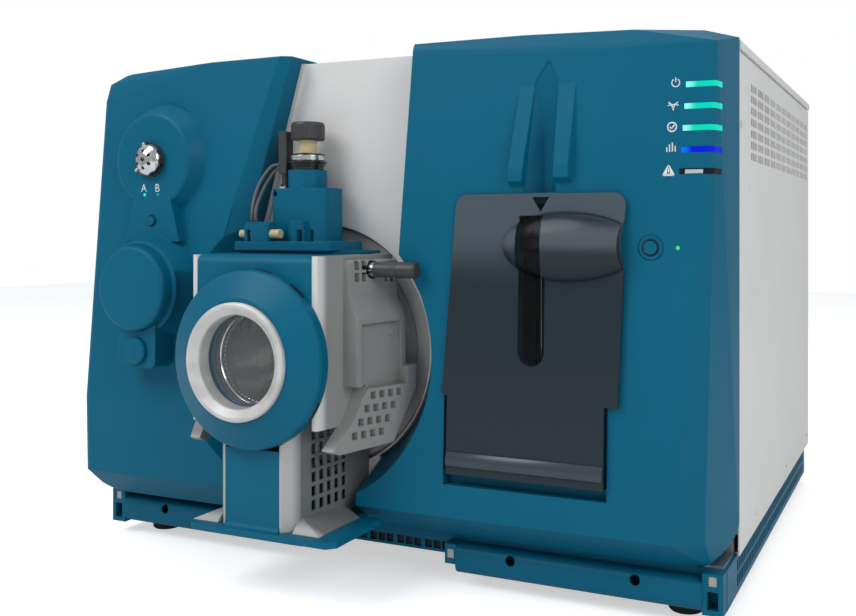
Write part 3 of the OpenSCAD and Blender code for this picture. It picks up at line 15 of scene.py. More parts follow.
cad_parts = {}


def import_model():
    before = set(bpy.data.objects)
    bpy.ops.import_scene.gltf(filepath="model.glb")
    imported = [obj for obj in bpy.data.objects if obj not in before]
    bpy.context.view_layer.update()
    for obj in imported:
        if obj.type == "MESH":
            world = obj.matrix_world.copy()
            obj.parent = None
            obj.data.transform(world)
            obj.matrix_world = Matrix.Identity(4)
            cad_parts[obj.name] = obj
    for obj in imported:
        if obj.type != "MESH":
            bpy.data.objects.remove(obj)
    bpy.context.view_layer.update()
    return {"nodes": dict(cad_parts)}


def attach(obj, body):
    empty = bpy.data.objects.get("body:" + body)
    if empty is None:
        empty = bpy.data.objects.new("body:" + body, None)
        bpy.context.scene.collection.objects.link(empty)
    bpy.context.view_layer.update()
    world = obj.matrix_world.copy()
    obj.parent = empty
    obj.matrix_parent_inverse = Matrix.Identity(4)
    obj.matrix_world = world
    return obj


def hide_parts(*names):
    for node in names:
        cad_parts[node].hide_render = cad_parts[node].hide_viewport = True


LOG = logging.getLogger("mass_spectrometer")
Colour = tuple[float, float, float]
Profile = tuple[tuple[float, float], ...]
MM = 0.001


def linear(code: str) -> Colour:
    """Turns a screen colour such as "17607F" into linear red, green and blue."""
    parts = [int(code[i:i + 2], 16) / 255 for i in (0, 2, 4)]
    return tuple(p / 12.92 if p <= 0.04045 else ((p + 0.055) / 1.055) ** 2.4 for p in parts)


def shade(colour: Colour, factor: float) -> Colour:
    """Returns a darker or lighter version of a colour."""
    return tuple(min(1.0, c * factor) for c in colour)


# ---------------------------------------------------------------- shader graph


class Socket:
    """A shader socket that can be used in Python arithmetic."""

    def __init__(self, graph: "Graph", out: bpy.types.NodeSocket) -> None:
        """Wraps an output socket of a graph."""
        self.graph = graph
        self.out = out

    def __add__(self, other: object) -> "Socket":
        """Adds."""
        return self.graph.calc("ADD", self, other)

    __radd__ = __add__

    def __mul__(self, other: object) -> "Socket":
        """Multiplies."""
        return self.graph.calc("MULTIPLY", self, other)

    __rmul__ = __mul__

    def __sub__(self, other: object) -> "Socket":
        """Subtracts a value from this socket."""
        return self.graph.calc("SUBTRACT", self, other)

    def __rsub__(self, other: object) -> "Socket":
        """Subtracts this socket from a value."""
        return self.graph.calc("SUBTRACT", other, self)

    def __truediv__(self, other: object) -> "Socket":
        """Divides this socket by a value."""
        return self.graph.calc("DIVIDE", self, other)

    def __rtruediv__(self, other: object) -> "Socket":
        """Divides a value by this socket."""
        return self.graph.calc("DIVIDE", other, self)

    def __gt__(self, other: object) -> "Socket":
        """Gives 1 where this socket is greater."""
        return self.graph.calc("GREATER_THAN", self, other)

    def __lt__(self, other: object) -> "Socket":
        """Gives 1 where this socket is less."""
        return self.graph.calc("LESS_THAN", self, other)


class Graph:
    """Builds one material's node tree around a Principled shader."""

    def __init__(self, name: str) -> None:
        """Makes an empty material with a Principled shader and an output.

        Args:
            name: The material's name.
        """
        self.material = bpy.data.materials.new(f"{name}_finish")
        self.material.use_nodes = True
        self.tree = self.material.node_tree
        self.tree.nodes.clear()
        self.shader = self.tree.nodes.new("ShaderNodeBsdfPrincipled")
        self.output = self.tree.nodes.new("ShaderNodeOutputMaterial")
        self.tree.links.new(self.shader.outputs[0], self.output.inputs["Surface"])

    def make(self, kind: str, settings: dict, inputs: dict, output: int | str = 0) -> Socket:
        """Adds any node, sets it up and feeds its sockets.

        Args:
            kind: The node's type name.
            settings: Properties to set first.
            inputs: Values or sockets by input name or number.
            output: The output to return.

        Returns:
            The chosen output, ready for arithmetic.
        """
        node = self.tree.nodes.new(kind)
        for key, value in settings.items():
            setattr(node, key, value)
        for key, value in inputs.items():
            self.feed(node.inputs[key], value)
        return Socket(self, node.outputs[output])

    def feed(self, socket: bpy.types.NodeSocket, value: object) -> None:
        """Links a socket or sets its value.

        Args:
            socket: The input to feed.
            value: A socket, a number, a vector or a colour of three parts.
        """
        if isinstance(value, Socket):
            self.tree.links.new(value.out, socket)
        elif isinstance(value, tuple) and len(value) == 3 and len(socket.default_value) == 4:
            socket.default_value = (*value, 1.0)
        else:
            socket.default_value = value

    def set(self, **values: object) -> None:
        """Sets Principled inputs; underscores stand for spaces in their names."""
        for key, value in values.items():
            self.feed(self.shader.inputs[key.replace("_", " ")], value)

    def place(self) -> Socket:
        """Gives the Object coordinates, in metres."""
        return self.make("ShaderNodeTexCoord", {}, {}, "Object")

    def axis(self, name: str) -> Socket:
        """Gives one Object coordinate, X, Y or Z."""
        return self.make("ShaderNodeSeparateXYZ", {}, {0: self.place()}, name)

    def scaled(self, scale: tuple[float, float, float]) -> Socket:
        """Gives Object coordinates stretched along their axes."""
        return self.make("ShaderNodeMapping", {}, {"Vector": self.place(), "Scale": scale})

    def noise(self, scale: float, detail: float = 3.0, vector: Socket | None = None) -> Socket:
        """Gives a soft noise between 0 and 1 with that many cells in a metre."""
        return self.make("ShaderNodeTexNoise", {}, {
            "Vector": vector or self.place(), "Scale": scale, "Detail": detail, "Roughness": 0.55})

    def calc(self, operation: str, first: object, second: object = 0.0) -> Socket:
        """Adds one Math node for one or two values or sockets."""
        return self.make("ShaderNodeMath", {"operation": operation}, {0: first, 1: second})

    def rise(self, value: object, low: float, high: float, kind: str = "SMOOTHSTEP") -> Socket:
        """Adds a step that goes from 0 to 1, or falls where its low is above its high.

        Args:
            value: The value or socket to read.
            low: Where the step gives 0.
            high: Where the step gives 1.
            kind: How it goes between them, SMOOTHSTEP or LINEAR.

        Returns:
            The step, held between 0 and 1.
        """
        return self.make("ShaderNodeMapRange", {"interpolation_type": kind},
                         {"Value": value, "From Min": low, "From Max": high})

    def blend(self, mask: object, first: object, second: object) -> Socket:
        """Mixes two colours by a mask.

        Args:
            mask: The share of the second colour.
            first: The colour at 0.
            second: The colour at 1.

        Returns:
            The mixed colour.
        """
        node = self.tree.nodes.new("ShaderNodeMix")
        node.data_type = "RGBA"
        for key, value in ((0, mask), (6, first), (7, second)):
            self.feed(node.inputs[key], value)
        return Socket(self, node.outputs[2])

    def relief(self, height: Socket, depth: float, edge: float = 0.0) -> None:
        """Feeds the normal from a height, over edges rounded by a small radius.

        Args:
            height: The relief, from 0 to 1.
            depth: Its depth in metres.
            edge: The radius that edges are rounded by, in metres.
        """
        inputs = {"Height": height, "Distance": depth, "Strength": 1.0}
        if edge > 0:
            inputs["Normal"] = self.make("ShaderNodeBevel", {"samples": 6}, {"Radius": edge})
        self.set(Normal=self.make("ShaderNodeBump", {}, inputs))


# ---------------------------------------------------------------- finishes


@dataclass(frozen=True)
class Moulding:
    """A moulded plastic or painted skin with a fine grain."""

    name: str
    colour: Colour
    roughness: float = 0.42
    grain: float = 1500.0
    depth: float = 0.00006
    edge: float = 0.0015
    coat: float = 0.0
    sheen: float = 0.5
    drift: float = 0.05
    drift_cells: float = 7.0
    coat_roughness: float = 0.2

    def build(self) -> bpy.types.Material:
        """Builds the material.

        Returns:
            The finished material.
        """
        graph = Graph(self.name)
        drift = graph.noise(self.drift_cells, 2.0)
        grain = graph.noise(self.grain, 2.0)
        dark, light = shade(self.colour, 1 - self.drift), shade(self.colour, 1 + self.drift)
        graph.set(Base_Color=graph.blend(drift, dark, light),
                  Roughness=self.roughness - 0.05 + drift * 0.06 + grain * 0.05,
                  Coat_Weight=self.coat, Coat_Roughness=self.coat_roughness,
                  Specular_IOR_Level=self.sheen)
        graph.relief(grain, self.depth, self.edge)
        return graph.material


@dataclass(frozen=True)
class Metal:
    """Bare metal, brushed along one axis, turned or cast."""

    name: str
    colour: Colour
    roughness: float = 0.3
    brush: tuple[float, float, float] = (60.0, 60.0, 900.0)
    depth: float = 0.00002
    edge: float = 0.0005
    metallic: float = 1.0
    contrast: float = 0.1
    stain: tuple[float, float, float] = (25.0, 9.0, 38.0)
    stain_range: tuple[float, float] = (0.32, 0.68)

    def build(self) -> bpy.types.Material:
        """Builds the material.

        Returns:
            The finished material.
        """
        graph = Graph(self.name)
        lines = graph.noise(1.0, 3.0, graph.scaled(self.brush))
        stain = graph.rise(graph.noise(1.0, 3.0, graph.scaled(self.stain)), *self.stain_range)
        dark, light = shade(self.colour, 1 - self.contrast), shade(self.colour, 1 + self.contrast)
        graph.set(Base_Color=graph.blend(stain, dark, light), Metallic=self.metallic,
                  Roughness=self.roughness - 0.06 + lines * 0.1 + stain * 0.05)
        graph.relief(lines, self.depth, self.edge)
        return graph.material


@dataclass(frozen=True)
class Smoked:
    """Smoked plastic, paler towards the door's top, with painted shade over the pump's slot and the
    small V above it, where the plastic is also more see-through.

    Places are in millimetres of the shared frame. The V is its X, its tip's Z, half its width for
    each millimetre up, and its top's Z.
    """

    name: str
    low: Colour
    high: Colour
    band: float = 0.0
    alpha: float = 0.96
    clearing: float = 0.62
    slot_shade_tone: Colour = linear("080B0D")
    fade: tuple[float, float] = (405.0, 480.0)
    fade_drift: float = 12.0
    band_z: float = 460.0
    band_reach: tuple[float, float] = (22.0, 4.0)
    painted_reflection_tone: Colour = linear("7C878D")
    slot_x: float = 249.2
    slot_r: float = 17.2
    slot_edge: float = 0.3
    slot_z: tuple[float, float] = (321.5, 487.0)
    vee: tuple[float, float, float, float] = (259.8, 491.0, 0.61, 509.5)

    def build(self) -> bpy.types.Material:
        """Builds the material.

        Returns:
            The finished material.
        """
        graph = Graph(self.name)
        x, z = graph.axis("X") * 1000.0, graph.axis("Z") * 1000.0
        # Painted shade: the dark slot and the groove's V notch behind the door are painted dark on
        # the door itself.
        clear = graph.calc("MAXIMUM", self.slot(graph, x, z), self.wedge(graph, x, z))
        high = graph.rise(z + graph.noise(6.0) * self.fade_drift, *self.fade)
        tone = graph.blend(high, self.low, self.high)
        # Painted reflection: a lighter horizontal band across the handle's bulge stands for a lamp's
        # reflection.
        if self.band > 0:
            lit = graph.rise(graph.calc("ABSOLUTE", z - self.band_z), *self.band_reach)
            tone = graph.blend(lit * self.band, tone, self.painted_reflection_tone)
        graph.set(Base_Color=graph.blend(clear, tone, self.slot_shade_tone), Coat_Weight=0.1,
                  Coat_Roughness=0.12, Roughness=0.28 + graph.noise(12.0) * 0.04,
                  Alpha=self.alpha - clear * self.clearing, Specular_IOR_Level=0.2)
        return graph.material

    def slot(self, graph: Graph, x: Socket, z: Socket) -> Socket:
        """Masks the strip of painted shade over the slot, which is round at its lower end.

        Args:
            graph: The material's graph.
            x: X in millimetres.
            z: Z in millimetres.

        Returns:
            1 in the strip and 0 outside it.
        """
        side = x - self.slot_x
        below = graph.calc("MINIMUM", z - self.slot_z[0])
        reach = graph.calc("SQRT", side * side + below * below)
        inside = graph.rise(reach, self.slot_r + self.slot_edge, self.slot_r - self.slot_edge,
                            "LINEAR")
        return inside * (z < self.slot_z[1])

    def wedge(self, graph: Graph, x: Socket, z: Socket) -> Socket:
        """Masks the small V of painted shade above the strip, where the groove's dark notch lies
        behind the door.

        Args:
            graph: The material's graph.
            x: X in millimetres.
            z: Z in millimetres.

        Returns:
            1 in the V and 0 outside it.
        """
        centre, tip, widening, top = self.vee
        return (graph.calc("ABSOLUTE", x - centre) < (z - tip) * widening) * (z < top)


@dataclass(frozen=True)
class PaintedShadeMoulding:
    """A grey moulded skin with painted light: its front frame is pale as a painted highlight and its
    flank is darker as painted shade.
    """

    name: str
    front: Colour
    shaded_flank: Colour
    edge_y: tuple[float, float] = (-0.436, -0.424)
    roughness: float = 0.36
    grain: float = 1100.0
    depth: float = 0.00005
    edge: float = 0.0022

    def build(self) -> bpy.types.Material:
        """Builds the material.

        Returns:
            The finished material.
        """
        graph = Graph(self.name)
        # Painted light and shade: pale towards the front edge as a painted highlight, darker on the
        # flank behind it as painted shade.
        back = graph.rise(graph.axis("Y"), *self.edge_y)
        grain = graph.noise(self.grain, 2.0)
        graph.set(Base_Color=graph.blend(back, self.front, self.shaded_flank),
                  Roughness=self.roughness + grain * 0.05, Specular_IOR_Level=0.4)
        graph.relief(grain, self.depth, self.edge)
        return graph.material


@dataclass(frozen=True)
class PaintedReflectionSheet:
    """Polished sheet with broad soft streaks, light and dark, that are painted reflections."""

    name: str
    dark: Colour
    light: Colour
    slant: float = 0.8
    pitch: float = 150.0
    warp: float = 16.0
    wave: float = 0.22
    spread: tuple[float, float] = (0.28, 0.78)

    def build(self) -> bpy.types.Material:
        """Builds the material.

        Returns:
            The finished material.
        """
        graph = Graph(self.name)
        across = graph.axis("X") * self.slant - graph.axis("Z")
        wave = graph.calc("SINE", across * self.pitch + graph.noise(9.0, 3.0) * self.warp)
        reflection_streaks = graph.rise(wave * self.wave + graph.noise(26.0, 4.0), *self.spread)
        graph.set(Base_Color=graph.blend(reflection_streaks, self.dark, self.light), Metallic=0.8,
                  Roughness=0.24 + reflection_streaks * 0.1)
        graph.relief(graph.noise(500.0, 2.0), 0.00002)
        return graph.material


@dataclass(frozen=True)
class StatusGlow:
    """The fascia's five light bars: lit green, lit blue and unlit, each brighter at its left end.

    Rows are counted down from the top bar, in steps of the pitch, and lengths are in metres.
    """

    name: str
    pitch: float = 0.0251
    top: float = 0.6375
    left: float = 0.437
    step: float = 0.0017
    hot: tuple[float, float] = (0.001, 0.012)
    ripple: float = 0.001
    blue_row: float = 2.5
    unlit_row: float = 3.5
    chip_x: tuple[float, float] = (0.0044, 0.025)
    chip_row: tuple[float, float] = (3.92, 4.1)
    green_tones: tuple[Colour, Colour] = (linear("8CFFF0"), linear("00DCBC"))
    blue_tones: tuple[Colour, Colour] = (linear("0070FF"), linear("0008E0"))
    unlit_tones: tuple[Colour, Colour] = (linear("15181A"), linear("B9BDBE"))
    lit_base: Colour = (0.0, 0.01, 0.01)

    def build(self) -> bpy.types.Material:
        """Builds the material.

        Returns:
            The finished material.
        """
        graph = Graph(self.name)
        row = (self.top - graph.axis("Z")) / self.pitch
        along = graph.axis("X") - (self.left - row * self.step)
        hot = graph.rise(along + graph.noise(400.0) * self.ripple, *self.hot)
        light = graph.blend(row > self.blue_row, graph.blend(hot, *self.green_tones),
                            graph.blend(hot, *self.blue_tones))
        light = graph.blend(row > self.unlit_row, light, shade(self.unlit_tones[0], 0.5))
        chip = ((along > self.chip_x[0]) * (along < self.chip_x[1])
                * (row > self.chip_row[0]) * (row < self.chip_row[1]))
        base = graph.blend(row > self.unlit_row, self.lit_base,
                           graph.blend(chip, *self.unlit_tones))
        graph.set(Base_Color=base, Roughness=0.25, Specular_IOR_Level=0.12, Emission_Color=light,
                  Emission_Strength=1.0)
        return graph.material


@dataclass(frozen=True)
class ClearGlass:
    """Clear window glass with a faint tint."""

    name: str
    colour: Colour
    alpha: float = 0.14

    def build(self) -> bpy.types.Material:
        """Builds the material.

        Returns:
            The finished material.
        """
        graph = Graph(self.name)
        graph.set(Base_Color=graph.blend(graph.noise(6.0), self.colour, shade(self.colour, 0.94)),
                  Roughness=0.02 + graph.noise(30.0) * 0.02, Alpha=self.alpha)
        return graph.material


@dataclass(frozen=True)
class Glow:
    """A lit lens, which fades along X from its core's colour where it has a length."""

    name: str
    colour: Colour
    core: Colour
    start: float = 0.0
    length: float = 0.0
    ripple: float = 0.004

    def build(self) -> bpy.types.Material:
        """Builds the material.

        Returns:
            The finished material.
        """
        graph = Graph(self.name)
        tone = graph.noise(300.0)
        if self.length > 0:
            along = graph.rise(graph.axis("X") + tone * self.ripple, self.start,
                               self.start + self.length, "LINEAR")
            light = graph.blend(along, self.core, self.colour)
        else:
            light = graph.blend(tone, self.core, self.colour)
        graph.set(Base_Color=shade(self.colour, 0.4), Roughness=0.3, Emission_Color=light,
                  Emission_Strength=1.0)
        return graph.material


class Finish(Enum):
    """Every finish on the instrument."""

    TEAL = Moulding("teal_moulding", linear("05607D"), edge=0.002, sheen=0.12)
    TEAL_PAINT = Moulding("teal_paint", linear("05607D"), roughness=0.38, grain=900.0,
                          depth=0.00005, edge=0.0018, sheen=0.14)
    PALE = Moulding("pale_paint", linear("DCDCD9"), roughness=0.5, grain=1100.0, depth=0.00005,
                    edge=0.001)
    PANEL = Moulding("panel_paint", linear("D6D5D4"), roughness=0.45, grain=1100.0, depth=0.00005)
    FLANGE = Moulding("flange_paint", linear("B2B2B0"), roughness=0.4, grain=900.0, depth=0.00005,
                      edge=0.002)
    # The side covers and the pedestal's sides get a painted highlight on the front frame and painted
    # shade on the flank.
    SIDES = PaintedShadeMoulding("side_moulding", linear("D2D2D0"), linear("8E8E8D"))
    COLUMN = PaintedShadeMoulding("column_moulding", linear("B4B4B2"), linear("787A7B"))
    SHEET = Metal("plated_sheet", linear("B4B7B9"), roughness=0.4)
    BLACK = Moulding("black_plastic", linear("353637"), grain=1300.0, edge=0.0012)
    GLOSS = Moulding("gloss_black", linear("0D0E0F"), roughness=0.2, grain=600.0, depth=0.00001,
                     edge=0.0006, coat=0.4)
    # Near black: painted shade in the finger slots, the door's groove, the gaps round buttons and the
    # vents, and the rear sockets' own dark plastic.
    DARK = Moulding("dark_recess", linear("0E1112"), roughness=0.6, grain=900.0, depth=0.00003,
                    edge=0.0003)
    KEEPER = Moulding("keeper_plastic", linear("A9ACA4"), roughness=0.5, grain=1300.0,
                      depth=0.00005, edge=0.0005)
    CREAM = Moulding("cream_plastic", linear("CFC9B8"), roughness=0.45, grain=1200.0,
                     depth=0.00003, edge=0.0006)
    RUBBER = Moulding("rubber", linear("2B2C2D"), roughness=0.7, grain=900.0, depth=0.0001,
                      edge=0.001)
    CHROME = Metal("polished_steel", linear("DADCDD"), roughness=0.14, brush=(200.0, 200.0, 200.0),
                   depth=0.000005, edge=0.0007)
    SATIN = Metal("satin_ring", linear("CBCBC9"), roughness=0.52, brush=(400.0, 400.0, 400.0),
                  depth=0.00001, edge=0.0014, metallic=0.35)
    # The liner's streaks are painted reflections.
    LINER = PaintedReflectionSheet("polished_liner", linear("45423F"), linear("CFCBC4"))
    CAST = Metal("cast_aluminium", linear("B5B6B8"), roughness=0.38, brush=(500.0, 500.0, 500.0),
                 depth=0.00005, edge=0.001)
    MILLED = Metal("machined_aluminium", linear("B0B2B4"))
    ANODISED = Moulding("black_anodised", linear("0E0F10"), roughness=0.22, grain=900.0,
                        depth=0.00001, edge=0.0006, coat=0.3)
    PEEK = Moulding("peek_plastic", linear("C3B289"), roughness=0.45, grain=1200.0, depth=0.00003,
                    edge=0.0005)
    CERAMIC = Moulding("white_ceramic", linear("DEDCD3"), roughness=0.35, grain=900.0,
                       depth=0.00002, edge=0.0006)
    PRINT = Moulding("white_print", linear("E4E6E6"), roughness=0.55, grain=900.0, depth=0.00001)
    SMOKED = Smoked("smoked_plastic", linear("222F37"), linear("4C5860"))
    # The handle's band is a painted reflection.
    HANDLE = Smoked("smoked_handle", linear("1E2930"), linear("243037"), band=0.35)
    TRIM = Moulding("smoked_trim", linear("36424A"), roughness=0.3, grain=900.0, depth=0.00001,
                    edge=0.0006, coat=0.2, sheen=0.3)
    GLASS = ClearGlass("window_glass", linear("D8DEE0"), alpha=0.08)
    GREEN = Glow("green_lens", linear("1FB46B"), linear("3CDC8C"))
    LAMPS = Glow("valve_lamps", linear("0E8C5A"), linear("1CF0B8"), start=-0.350, length=0.012)
    STATUS = StatusGlow("status_lens")
    CABLE = Moulding("cable_jacket", linear("55565A"), roughness=0.5, depth=0.00004, edge=0.0003)

    def material(self) -> bpy.types.Material:
        """Returns this finish's material, built once."""
        found = bpy.data.materials.get(f"{self.value.name}_finish")
        return found or self.value.build()


NODE_FINISH: dict[Finish, tuple[str, ...]] = {
    Finish.TEAL: ("left_fascia", "right_fascia", "valve_button", "valve_cover", "port_plug",
                  "button_housing", "pump_button"),
    Finish.TEAL_PAINT: ("base_skirt", "left_rail", "right_rail", "source_cover", "source_bezel",
                        "probe_tower", "union_block", "pedestal_front"),
    Finish.PALE: ("left_panel", "right_panel", "lid", "rear_panel"),
    Finish.PANEL: ("centre_panel",),
    Finish.FLANGE: ("vacuum_flange",),
    Finish.SIDES: ("source_side_right", "source_side_left"),
    Finish.COLUMN: ("pedestal_sides",),
    Finish.SHEET: ("chassis_base", "front_bulkhead", "electronics_unit", "power_unit"),
    Finish.BLACK: ("valve_ring", "pump_carriage", "latch_right", "probe_knob", "sensor_block",
                   "fan_left", "fan_right", "mains_switch"),
    Finish.KEEPER: ("rail_clips",),
    Finish.RUBBER: ("levelling_feet",),
    Finish.CHROME: ("valve_stator", "guide_rods", "lead_screw", "curtain_plate"),
    Finish.SATIN: ("window_ring",),
    Finish.CAST: ("source_housing",),
    Finish.MILLED: ("vacuum_chamber", "turbo_pump_front", "turbo_pump_rear"),
    Finish.ANODISED: ("retaining_ring", "pump_frame"),
    Finish.PEEK: ("valve_rotor", "probe_sleeve", "peek_fittings"),
    Finish.CERAMIC: ("rod_set",),
    Finish.SMOKED: ("pump_door",),
    Finish.GLASS: ("window_glass",),
    Finish.GREEN: ("ready_light",),
    Finish.LAMPS: ("valve_light_guide",),
    Finish.STATUS: ("status_light_guide",),
    Finish.CABLE: ("probe_cables",),
}


def dress(obj: bpy.types.Object, finish: Finish) -> None:
    """Gives an object one finish in place of what it has."""
    obj.data.materials.clear()
    obj.data.materials.append(finish.material())


# ---------------------------------------------------------------- shapes

# Where the cabinet's own origin lies in the shared frame, in millimetres
CABINET_Y = -279.0
CABINET_Z = 18.0


def at(x: float, y: float, z: float) -> Vector:
    """Turns a place in the cabinet, in millimetres, into metres in the shared frame."""
    return Vector((x * MM, (y + CABINET_Y) * MM, (z + CABINET_Z) * MM))


def facing(normal: Vector, up: Vector = Vector((0.0, 0.0, 1.0))) -> Matrix:
    """Gives the turn that points local +Z along a normal and keeps local +Y upwards.

    Args:
        normal: The direction that the shape faces.
        up: The direction that its top points to.

    Returns:
        The rotation as a 4 by 4 matrix.
    """
    out = normal.normalized()
    side = up.cross(out).normalized()
    return Matrix((side, out.cross(side), out)).transposed().to_4x4()


class Shape:
    """A mesh under construction, in millimetres round its own origin."""

    def __init__(self) -> None:
        """Starts an empty shape."""
        self.mesh = bmesh.new()

    def _place(self, verts: Sequence[bmesh.types.BMVert], turn: Matrix) -> None:
        """Moves new vertices by a matrix."""
        bmesh.ops.transform(self.mesh, matrix=turn, verts=list(verts))

    def block(self, low: Sequence[float], high: Sequence[float], edge: float = 0.0, rows: int = 2,
              turn: Matrix = Matrix()) -> "Shape":
        """Adds a block with rounded edges between two corners.

        Args:
            low: Lowest corner.
            high: Highest corner.
            edge: Radius of its edges.
            rows: Segments across each rounded edge.
            turn: Placing matrix in millimetres.

        Returns:
            This shape.
        """
        new = bmesh.ops.create_cube(self.mesh, size=1.0)["verts"]
        size = [h - l for l, h in zip(low, high)]
        mid = [(h + l) / 2 for l, h in zip(low, high)]
        bmesh.ops.scale(self.mesh, vec=size, verts=new)
        bmesh.ops.translate(self.mesh, vec=mid, verts=new)
        if edge > 0:
            edges = list(dict.fromkeys(e for v in new for e in v.link_edges))
            made = bmesh.ops.bevel(self.mesh, geom=edges, offset=edge, segments=rows, profile=0.5,
                                   affect="EDGES", material=-1)
            round_verts = [v for f in made["faces"] for v in f.verts]
            new = list(dict.fromkeys(round_verts + [v for v in new if v.is_valid]))
        self._place(new, turn)
        return self

    def lathe(self, profile: Sequence[tuple[float, float]], steps: int = 48,
              turn: Matrix = Matrix(), angle: float = 360.0, closed: bool = False) -> "Shape":
        """Adds a turned piece round local Z.

        Args:
            profile: Points as radius and height.
            steps: Segments round the axis.
            turn: Placing matrix in millimetres.
            angle: Swept angle in degrees.
            closed: Whether the profile closes on itself.

        Returns:
            This shape.
        """
        verts = [self.mesh.verts.new((r, 0.0, h)) for r, h in profile]
        pairs = list(zip(verts, verts[1:])) + ([(verts[-1], verts[0])] if closed else [])
        edges = [self.mesh.edges.new(pair) for pair in pairs]
        before = set(self.mesh.verts) - set(verts)
        bmesh.ops.spin(self.mesh, geom=verts + edges, cent=(0, 0, 0), axis=(0, 0, 1),
                       angle=math.radians(angle), steps=steps, use_merge=angle >= 360.0)
        new = [v for v in self.mesh.verts if v not in before]
        bmesh.ops.remove_doubles(self.mesh, verts=new, dist=0.0005)
        new = [v for v in self.mesh.verts if v not in before]
        self._place(new, turn)
        return self

    def prism(self, outline: Sequence[tuple[float, float]], low: float, high: float,
              turn: Matrix = Matrix()) -> "Shape":
        """Adds a straight prism of an outline in local X and Y.

        Args:
            outline: Corners in order.
            low: Height of its base.
            high: Height of its top.
            turn: Placing matrix in millimetres.

        Returns:
            This shape.
        """
        base = [self.mesh.verts.new((x, y, low)) for x, y in outline]
        face = self.mesh.faces.new(base)
        made = bmesh.ops.extrude_face_region(self.mesh, geom=[face], use_keep_orig=True)["geom"]
        top = [g for g in made if isinstance(g, bmesh.types.BMVert)]
        bmesh.ops.translate(self.mesh, vec=(0, 0, high - low), verts=top)
        self._place(base + top, turn)
        return self

    def soften(self, width: float, rows: int = 2, sharp: float = 35.0) -> "Shape":
        """Rounds every edge that is sharper than an angle.

        Args:
            width: How far the rounding reaches.
            rows: Segments across each rounded edge.
            sharp: The angle in degrees.

        Returns:
            This shape.
        """
        bmesh.ops.recalc_face_normals(self.mesh, faces=self.mesh.faces)
        edges = [e for e in self.mesh.edges
                 if len(e.link_faces) == 2 and math.degrees(e.calc_face_angle(0.0)) > sharp]
        bmesh.ops.bevel(self.mesh, geom=edges, offset=width, segments=rows, profile=0.5,
                        affect="EDGES", material=-1, clamp_overlap=True)
        return self

    def piece(self, name: str, body: str, finish: Finish, place: Matrix = Matrix(),
              flat: bool = False, replaces: Sequence[str] = ()) -> bpy.types.Object:
        """Makes the shape an object of the model that rides on a body.

        Args:
            name: The object's name.
            body: The body that it moves with.
            finish: Its finish.
            place: Placing matrix, from millimetres to metres.
            flat: Whether faces stay flat shaded.
            replaces: Nodes that it stands for.

        Returns:
            The new object, at the origin.
        """
        bmesh.ops.recalc_face_normals(self.mesh, faces=self.mesh.faces)
        bmesh.ops.transform(self.mesh, matrix=place, verts=self.mesh.verts)
        mesh = bpy.data.meshes.new(name)
        self.mesh.to_mesh(mesh)
        self.mesh.free()
        for face in mesh.polygons:
            face.use_smooth = not flat
        if not flat:
            mesh.set_sharp_from_angle(angle=math.radians(32))
        return enlist(bpy.data.objects.new(name, mesh), body, finish, replaces)


def enlist(obj: bpy.types.Object, body: str, finish: Finish,
           replaces: Sequence[str] = ()) -> bpy.types.Object:
    """Links an object, dresses it and makes it ride on a body.

    Args:
        obj: The object, at the origin.
        body: The body that it moves with.
        finish: Its finish.
        replaces: Nodes that it stands for.

    Returns:
        The same object.
    """
    bpy.context.scene.collection.objects.link(obj)
    dress(obj, finish)
    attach(obj, body)
    if replaces:
        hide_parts(*replaces)
    LOG.info("%s rides on %s", obj.name, body)
    return obj


def to_frame(x: float, y: float, z: float, turn: Matrix = Matrix()) -> Matrix:
    """Gives the matrix that places a millimetre shape at a cabinet place."""
    return Matrix.Translation(at(x, y, z)) @ turn @ Matrix.Scale(MM, 4)


def probe_surface(node: bpy.types.Object, x: float, z: float) -> tuple[Vector, Vector]:
    """Finds where a line from the front meets a node.

    Args:
        node: The node's object.
        x: Cabinet X in millimetres.
        z: Cabinet Z in millimetres.

    Returns:
        The point and the outward normal, in metres.
    """
    start = at(x, -400.0, z)
    hit, point, normal, _ = node.ray_cast(start, Vector((0.0, 1.0, 0.0)))
    if not hit:
        raise ValueError(f"no surface at {x}, {z}")
    return point, (normal if normal.y < 0 else -normal)


def socket_screw(shape: Shape, radius: float, height: float, turn: Matrix) -> None:
    """Adds the head of a socket screw on local Z to a shape.

    Args:
        shape: The shape to add to.
        radius: The head's radius in millimetres.
        height: The head's height in millimetres.
        turn: Placing matrix in millimetres.
    """
    shape.lathe([(0, height * 0.45), (radius * 0.5, height * 0.45), (radius * 0.5, height),
                 (radius * 0.86, height), (radius, height * 0.82), (radius, -0.5), (0, -0.5)],
                24, turn)


def round_places(count: int, radius: float, first: float, height: float = 0.0) -> list[Matrix]:
    """Gives evenly spaced places on a circle round local Z.

    Args:
        count: How many places.
        radius: The circle's radius in millimetres.
        first: Angle of the first place in degrees.
        height: Height of the circle in millimetres.

    Returns:
        One placing matrix for each place.
    """
    angles = [math.radians(first + 360 * step / count) for step in range(count)]
    return [Matrix.Translation((radius * math.cos(a), radius * math.sin(a), height))
            for a in angles]


FRONT = facing(Vector((0.0, -1.0, 0.0)))
BACK = facing(Vector((0.0, 1.0, 0.0)))
RIGHT = facing(Vector((1.0, 0.0, 0.0)))


# ---------------------------------------------------------------- sub-assemblies


